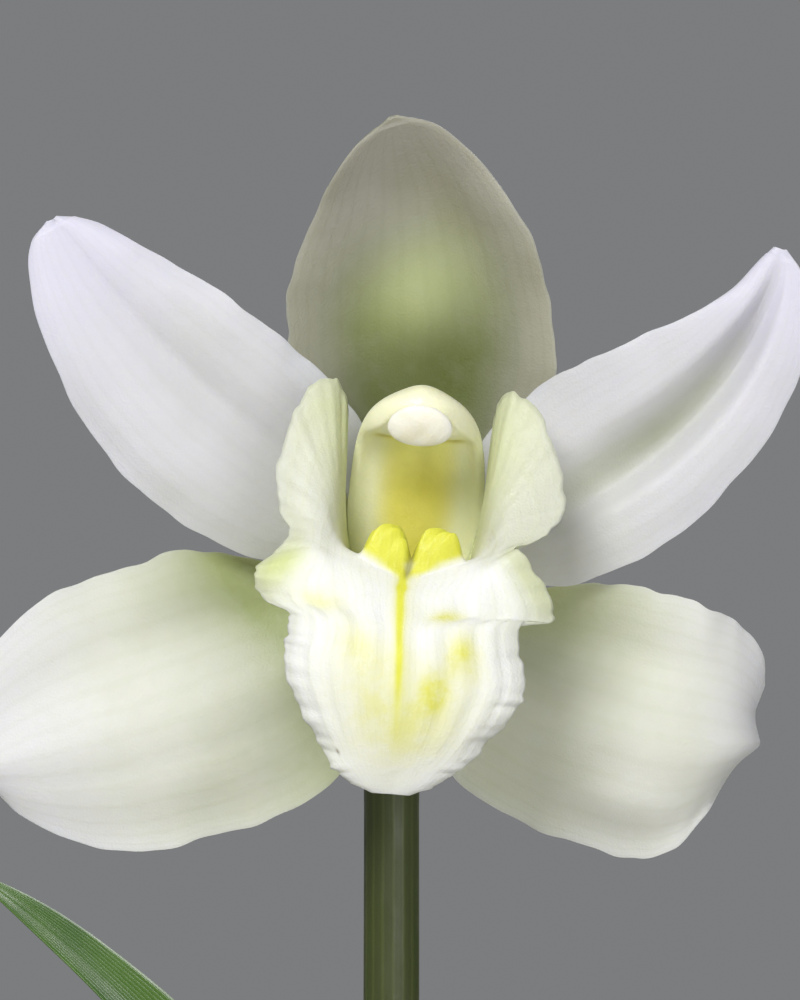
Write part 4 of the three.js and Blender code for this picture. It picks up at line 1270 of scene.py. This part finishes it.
def pot_outline():
    """From the middle of the foot round the outside, over the rim and down inside."""
    rim_foot = POT_HEIGHT - RIM_HEIGHT
    outer = POT_RIM_RADIUS + RIM_PROUD
    outline = [(0.5, 0), (POT_FOOT_RADIUS * 0.5, 0), (POT_FOOT_RADIUS - 3, 0)]
    outline += arc(POT_FOOT_RADIUS - 2, 2, 2, -90, -10, 6)
    outline += [(pot_radius(z), z) for z in np.linspace(5, rim_foot - 2, 60)]
    outline += arc(pot_radius(rim_foot) + 1.4, rim_foot - 0.6, 1.2, 180, 90, 5)
    lip_foot = pot_radius(rim_foot) + RIM_PROUD
    outline += arc(lip_foot - 1.2, rim_foot + 2, 1.4, -80, 0, 6)
    up = np.linspace(0, 1, 14)
    outline += zip(lerp(lip_foot + 0.2, outer, up), lerp(rim_foot + 4, POT_HEIGHT - 3, up))
    outline += arc(outer - 2, POT_HEIGHT - 2, 2, 10, 90)
    outline += arc(bore_radius(POT_HEIGHT) + 2, POT_HEIGHT - 2, 2, 90, 180)
    outline += [(bore_radius(z), z) for z in np.linspace(POT_HEIGHT - 4, POT_FLOOR + 3, 30)]
    outline += arc(bore_radius(POT_FLOOR) - 2, POT_FLOOR + 2, 2, 0, -90, 5)
    outline += [(20, POT_FLOOR), (0.5, POT_FLOOR)]
    return np.array(outline)


def make_pot():
    radius, z = pot_outline().T[..., None]
    angle = circle(180)
    # Hand-thrown: the wall is a hair out of round, with faint throwing rings.
    wall = (z > 6) & (z < POT_HEIGHT - 3)
    throwing = 0.12 * np.sin(z * 1.7 + 0.8 * np.sin(z * 0.31))
    r = radius * (1 + 0.0012 * np.sin(2 * angle + 0.7)) + wall * throwing
    outside = np.arange(len(z))[:, None] < len(z) * 0.7
    foot = 0.9 * fade(z, 4, 55)
    rim = 0.55 * smoothstep(z, POT_HEIGHT - 30, POT_HEIGHT - 2)
    bloom = np.where(outside, np.maximum(foot, rim), 0.8)
    damp = np.where(outside, 0, 0.8)
    piece = ring_object("pot", turned(r, z, angle), {"bloom": bloom + 0 * angle, "damp": damp + 0 * angle})
    cut_drain_holes(piece)
    stand_for(piece, clay_material(), "clay", "pot")


def cut_drain_holes(piece):
    """Three holes through the floor, each with a flare at its foot."""
    height, flare = np.array([(-4, 0.8), (0, 0.7), (0.8, 0.1), (POT_FLOOR + 4, 0)]).T[..., None]
    rings = turned(DRAIN_RADIUS + flare, height, circle(48))
    cutters = []
    for i in range(3):
        angle = i / 3 * 2 * math.pi + math.pi / 2
        place = [math.cos(angle) * DRAIN_CIRCLE, math.sin(angle) * DRAIN_CIRCLE, 0]
        cutters.append(ring_object(f"drain_cutter_{i}", rings + place))
        cut = piece.modifiers.new(f"drain_{i}", "BOOLEAN")
        cut.operation = "DIFFERENCE"
        cut.object = cutters[-1]
        cut.solver = "EXACT"
    bpy.context.view_layer.update()
    done = piece.evaluated_get(bpy.context.evaluated_depsgraph_get())
    mesh = bpy.data.meshes.new_from_object(done)
    piece.modifiers.clear()
    piece.data = mesh
    for cutter in cutters:
        bpy.data.objects.remove(cutter)


def chip_shape(rng, length, breadth, height):
    """A broken piece of bark: a convex lump with its corners knocked about."""
    shape = bmesh.new()
    for _ in range(18):
        point = Vector([rng.uniform(-1, 1) for _ in range(3)])
        # Push outwards so that the chip is blocky.
        point = point / max(map(abs, point)) * rng.uniform(0.78, 1)
        shape.verts.new((point.x * length / 2, point.y * breadth / 2, point.z * height / 2))
    hull = bmesh.ops.convex_hull(shape, input=shape.verts)
    loose = {v for v in hull["geom_unused"] + hull["geom_interior"] if isinstance(v, bmesh.types.BMVert)}
    bmesh.ops.delete(shape, geom=list(loose), context="VERTS")
    offset = min(height, breadth) * 0.06
    bmesh.ops.bevel(
        shape, geom=list(shape.edges), offset=offset, segments=1, profile=0.6, affect="EDGES"
    )
    shape.verts.ensure_lookup_table()
    points = np.array([v.co[:] for v in shape.verts])
    faces = [[v.index for v in f.verts] for f in shape.faces]
    shape.free()
    return points, faces


def scatter(name, count, seed, sizes, lifts, material, tones):
    """Chips strewn over the bark's surface, as one mesh.

    sizes, lifts and tones are the least and the most of a chip's length, breadth and height, of its
    height over the mound, and of its colour."""
    rng = random.Random(seed)
    bore = bore_radius(BARK_TOP)
    all_points, all_faces, all_tones = [], [], []
    start = 0
    for _ in range(count):
        length, breadth, height = (rng.uniform(*size) for size in sizes)
        points, faces = chip_shape(rng, length, breadth, height)
        angle = rng.uniform(0, 2 * math.pi)
        radius = math.sqrt(rng.uniform(0, 1)) * (bore - 1.5 - length / 2)
        turn = Matrix.Rotation(rng.uniform(0, 2 * math.pi), 3, "Z")
        for axis in "XY":
            turn = turn @ Matrix.Rotation(rng.gauss(0, 0.28), 3, axis)
        lift = BARK_TOP + BARK_MOUND * (1 - (radius / bore) ** 2) + rng.uniform(*lifts)
        place = [math.cos(angle) * radius, math.sin(angle) * radius, lift]
        all_points.append(points @ np.array(turn).T + place)
        all_faces += [[start + k for k in face] for face in faces]
        all_tones.append(np.full(len(points), rng.uniform(*tones)))
        start += len(points)
    piece = make_object(name, np.concatenate(all_points), all_faces, {"tone": np.concatenate(all_tones)})
    for polygon in piece.data.polygons:
        polygon.use_smooth = False
    stand_for(piece, material, "bark")


def make_bark():
    bark = bark_material()
    angle = circle(160)
    floor = BARK_LOW[2]
    edge = bore_radius(BARK_TOP) - 0.5
    inward = np.linspace(0.05, 1, 60)
    outline = [(0.5, floor), (bore_radius(floor) - 0.5, floor), (edge, BARK_TOP - 2)]
    outline += zip(lerp(edge, 0.5, inward), BARK_TOP - 2 + BARK_MOUND * np.sin(inward * math.pi / 2))
    radius, z = np.array(outline).T[..., None]
    lumps = ripple(angle / (2 * math.pi), 5, [(11, 0.5), (23, 0.4), (37, 0.3)]) * np.sin(radius * 0.6)
    rings = turned(radius, z + (z > BARK_TOP - 2.5) * lumps, angle)
    stand_for(ring_object("bark_mix", rings), bark, "bark", "bark_mix")
    scatter("bark_chips", 420, 7, [(8, 17), (6, 11), (3, 6)], (-1.8, 2), bark, (0.1, 1))
    scatter("bark_crumbs", 260, 9, [(3, 6), (2.5, 4.5), (1.5, 3)], (-1, 2.2), bark, (0, 0.9))
    scatter("perlite", 26, 12, [(3, 5), (2.6, 4.4), (2.4, 4)], (0.5, 2.4), perlite_material(), (0, 1))


# ======== stage, light and camera

CAMERA_DISTANCE = 361  # from the petals, in mm
CAMERA_OFFSET = (-1, 8.5)  # to the right of the flower's middle, and above it
FLOOR_RINGS = (1400, 700, 1)  # radii
WORLD_GREY = (0.2, 0.204, 0.21, 1)
# Name, place and size in metres, and power in watts.
LIGHTS = [
    ("key_light", (-0.3, -0.85, 0.9), 0.5, 9.3),
    ("fill_light", (0.6, -1.3, 0.22), 0.9, 5.8),
    ("rim_light", (0.35, 1, 1.1), 0.7, 8),
]


def make_stage():
    angle = circle(128)
    points = np.concatenate([turned(radius, 0, angle) for radius in FLOOR_RINGS])
    floor = make_object("floor", points, grid_faces(len(FLOOR_RINGS), len(angle), wrap=True))
    floor.data.materials.append(floor_material())


def make_lights():
    for name, place, size, power in LIGHTS:
        data = bpy.data.lights.new(name, "AREA")
        data.shape = "DISK"
        data.size = size
        data.energy = power
        light = bpy.data.objects.new(name, data)
        light.location = place
        light.rotation_euler = (Vector(PLACE * MM) - light.location).to_track_quat("-Z", "Y").to_euler()
        bpy.context.scene.collection.objects.link(light)
    world = bpy.data.worlds.new("studio")
    world.use_nodes = True
    background = world.node_tree.nodes["Background"]
    background.inputs["Color"].default_value = WORLD_GREY
    background.inputs["Strength"].default_value = 1
    bpy.context.scene.world = world


def make_camera():
    data = bpy.data.cameras.new("camera")
    data.lens = 100
    data.sensor_width = 36
    data.clip_start = 0.01
    camera = bpy.data.objects.new("camera", data)
    right, up = CAMERA_OFFSET
    camera.location = (PLACE + [right, -CAMERA_DISTANCE, up]) * MM
    camera.rotation_euler = (math.pi / 2, 0, 0)
    bpy.context.scene.collection.objects.link(camera)
    bpy.context.scene.camera = camera


make_camera()
make_lights()
make_stage()
bpy.context.scene.view_settings.view_transform = "Standard"

make_column()
make_cap()
make_tepals()
make_lip()
make_stalk()
make_bracts()
make_leaves()
make_bulbs()
make_rhizomes()
make_roots()
make_pot()
make_bark()
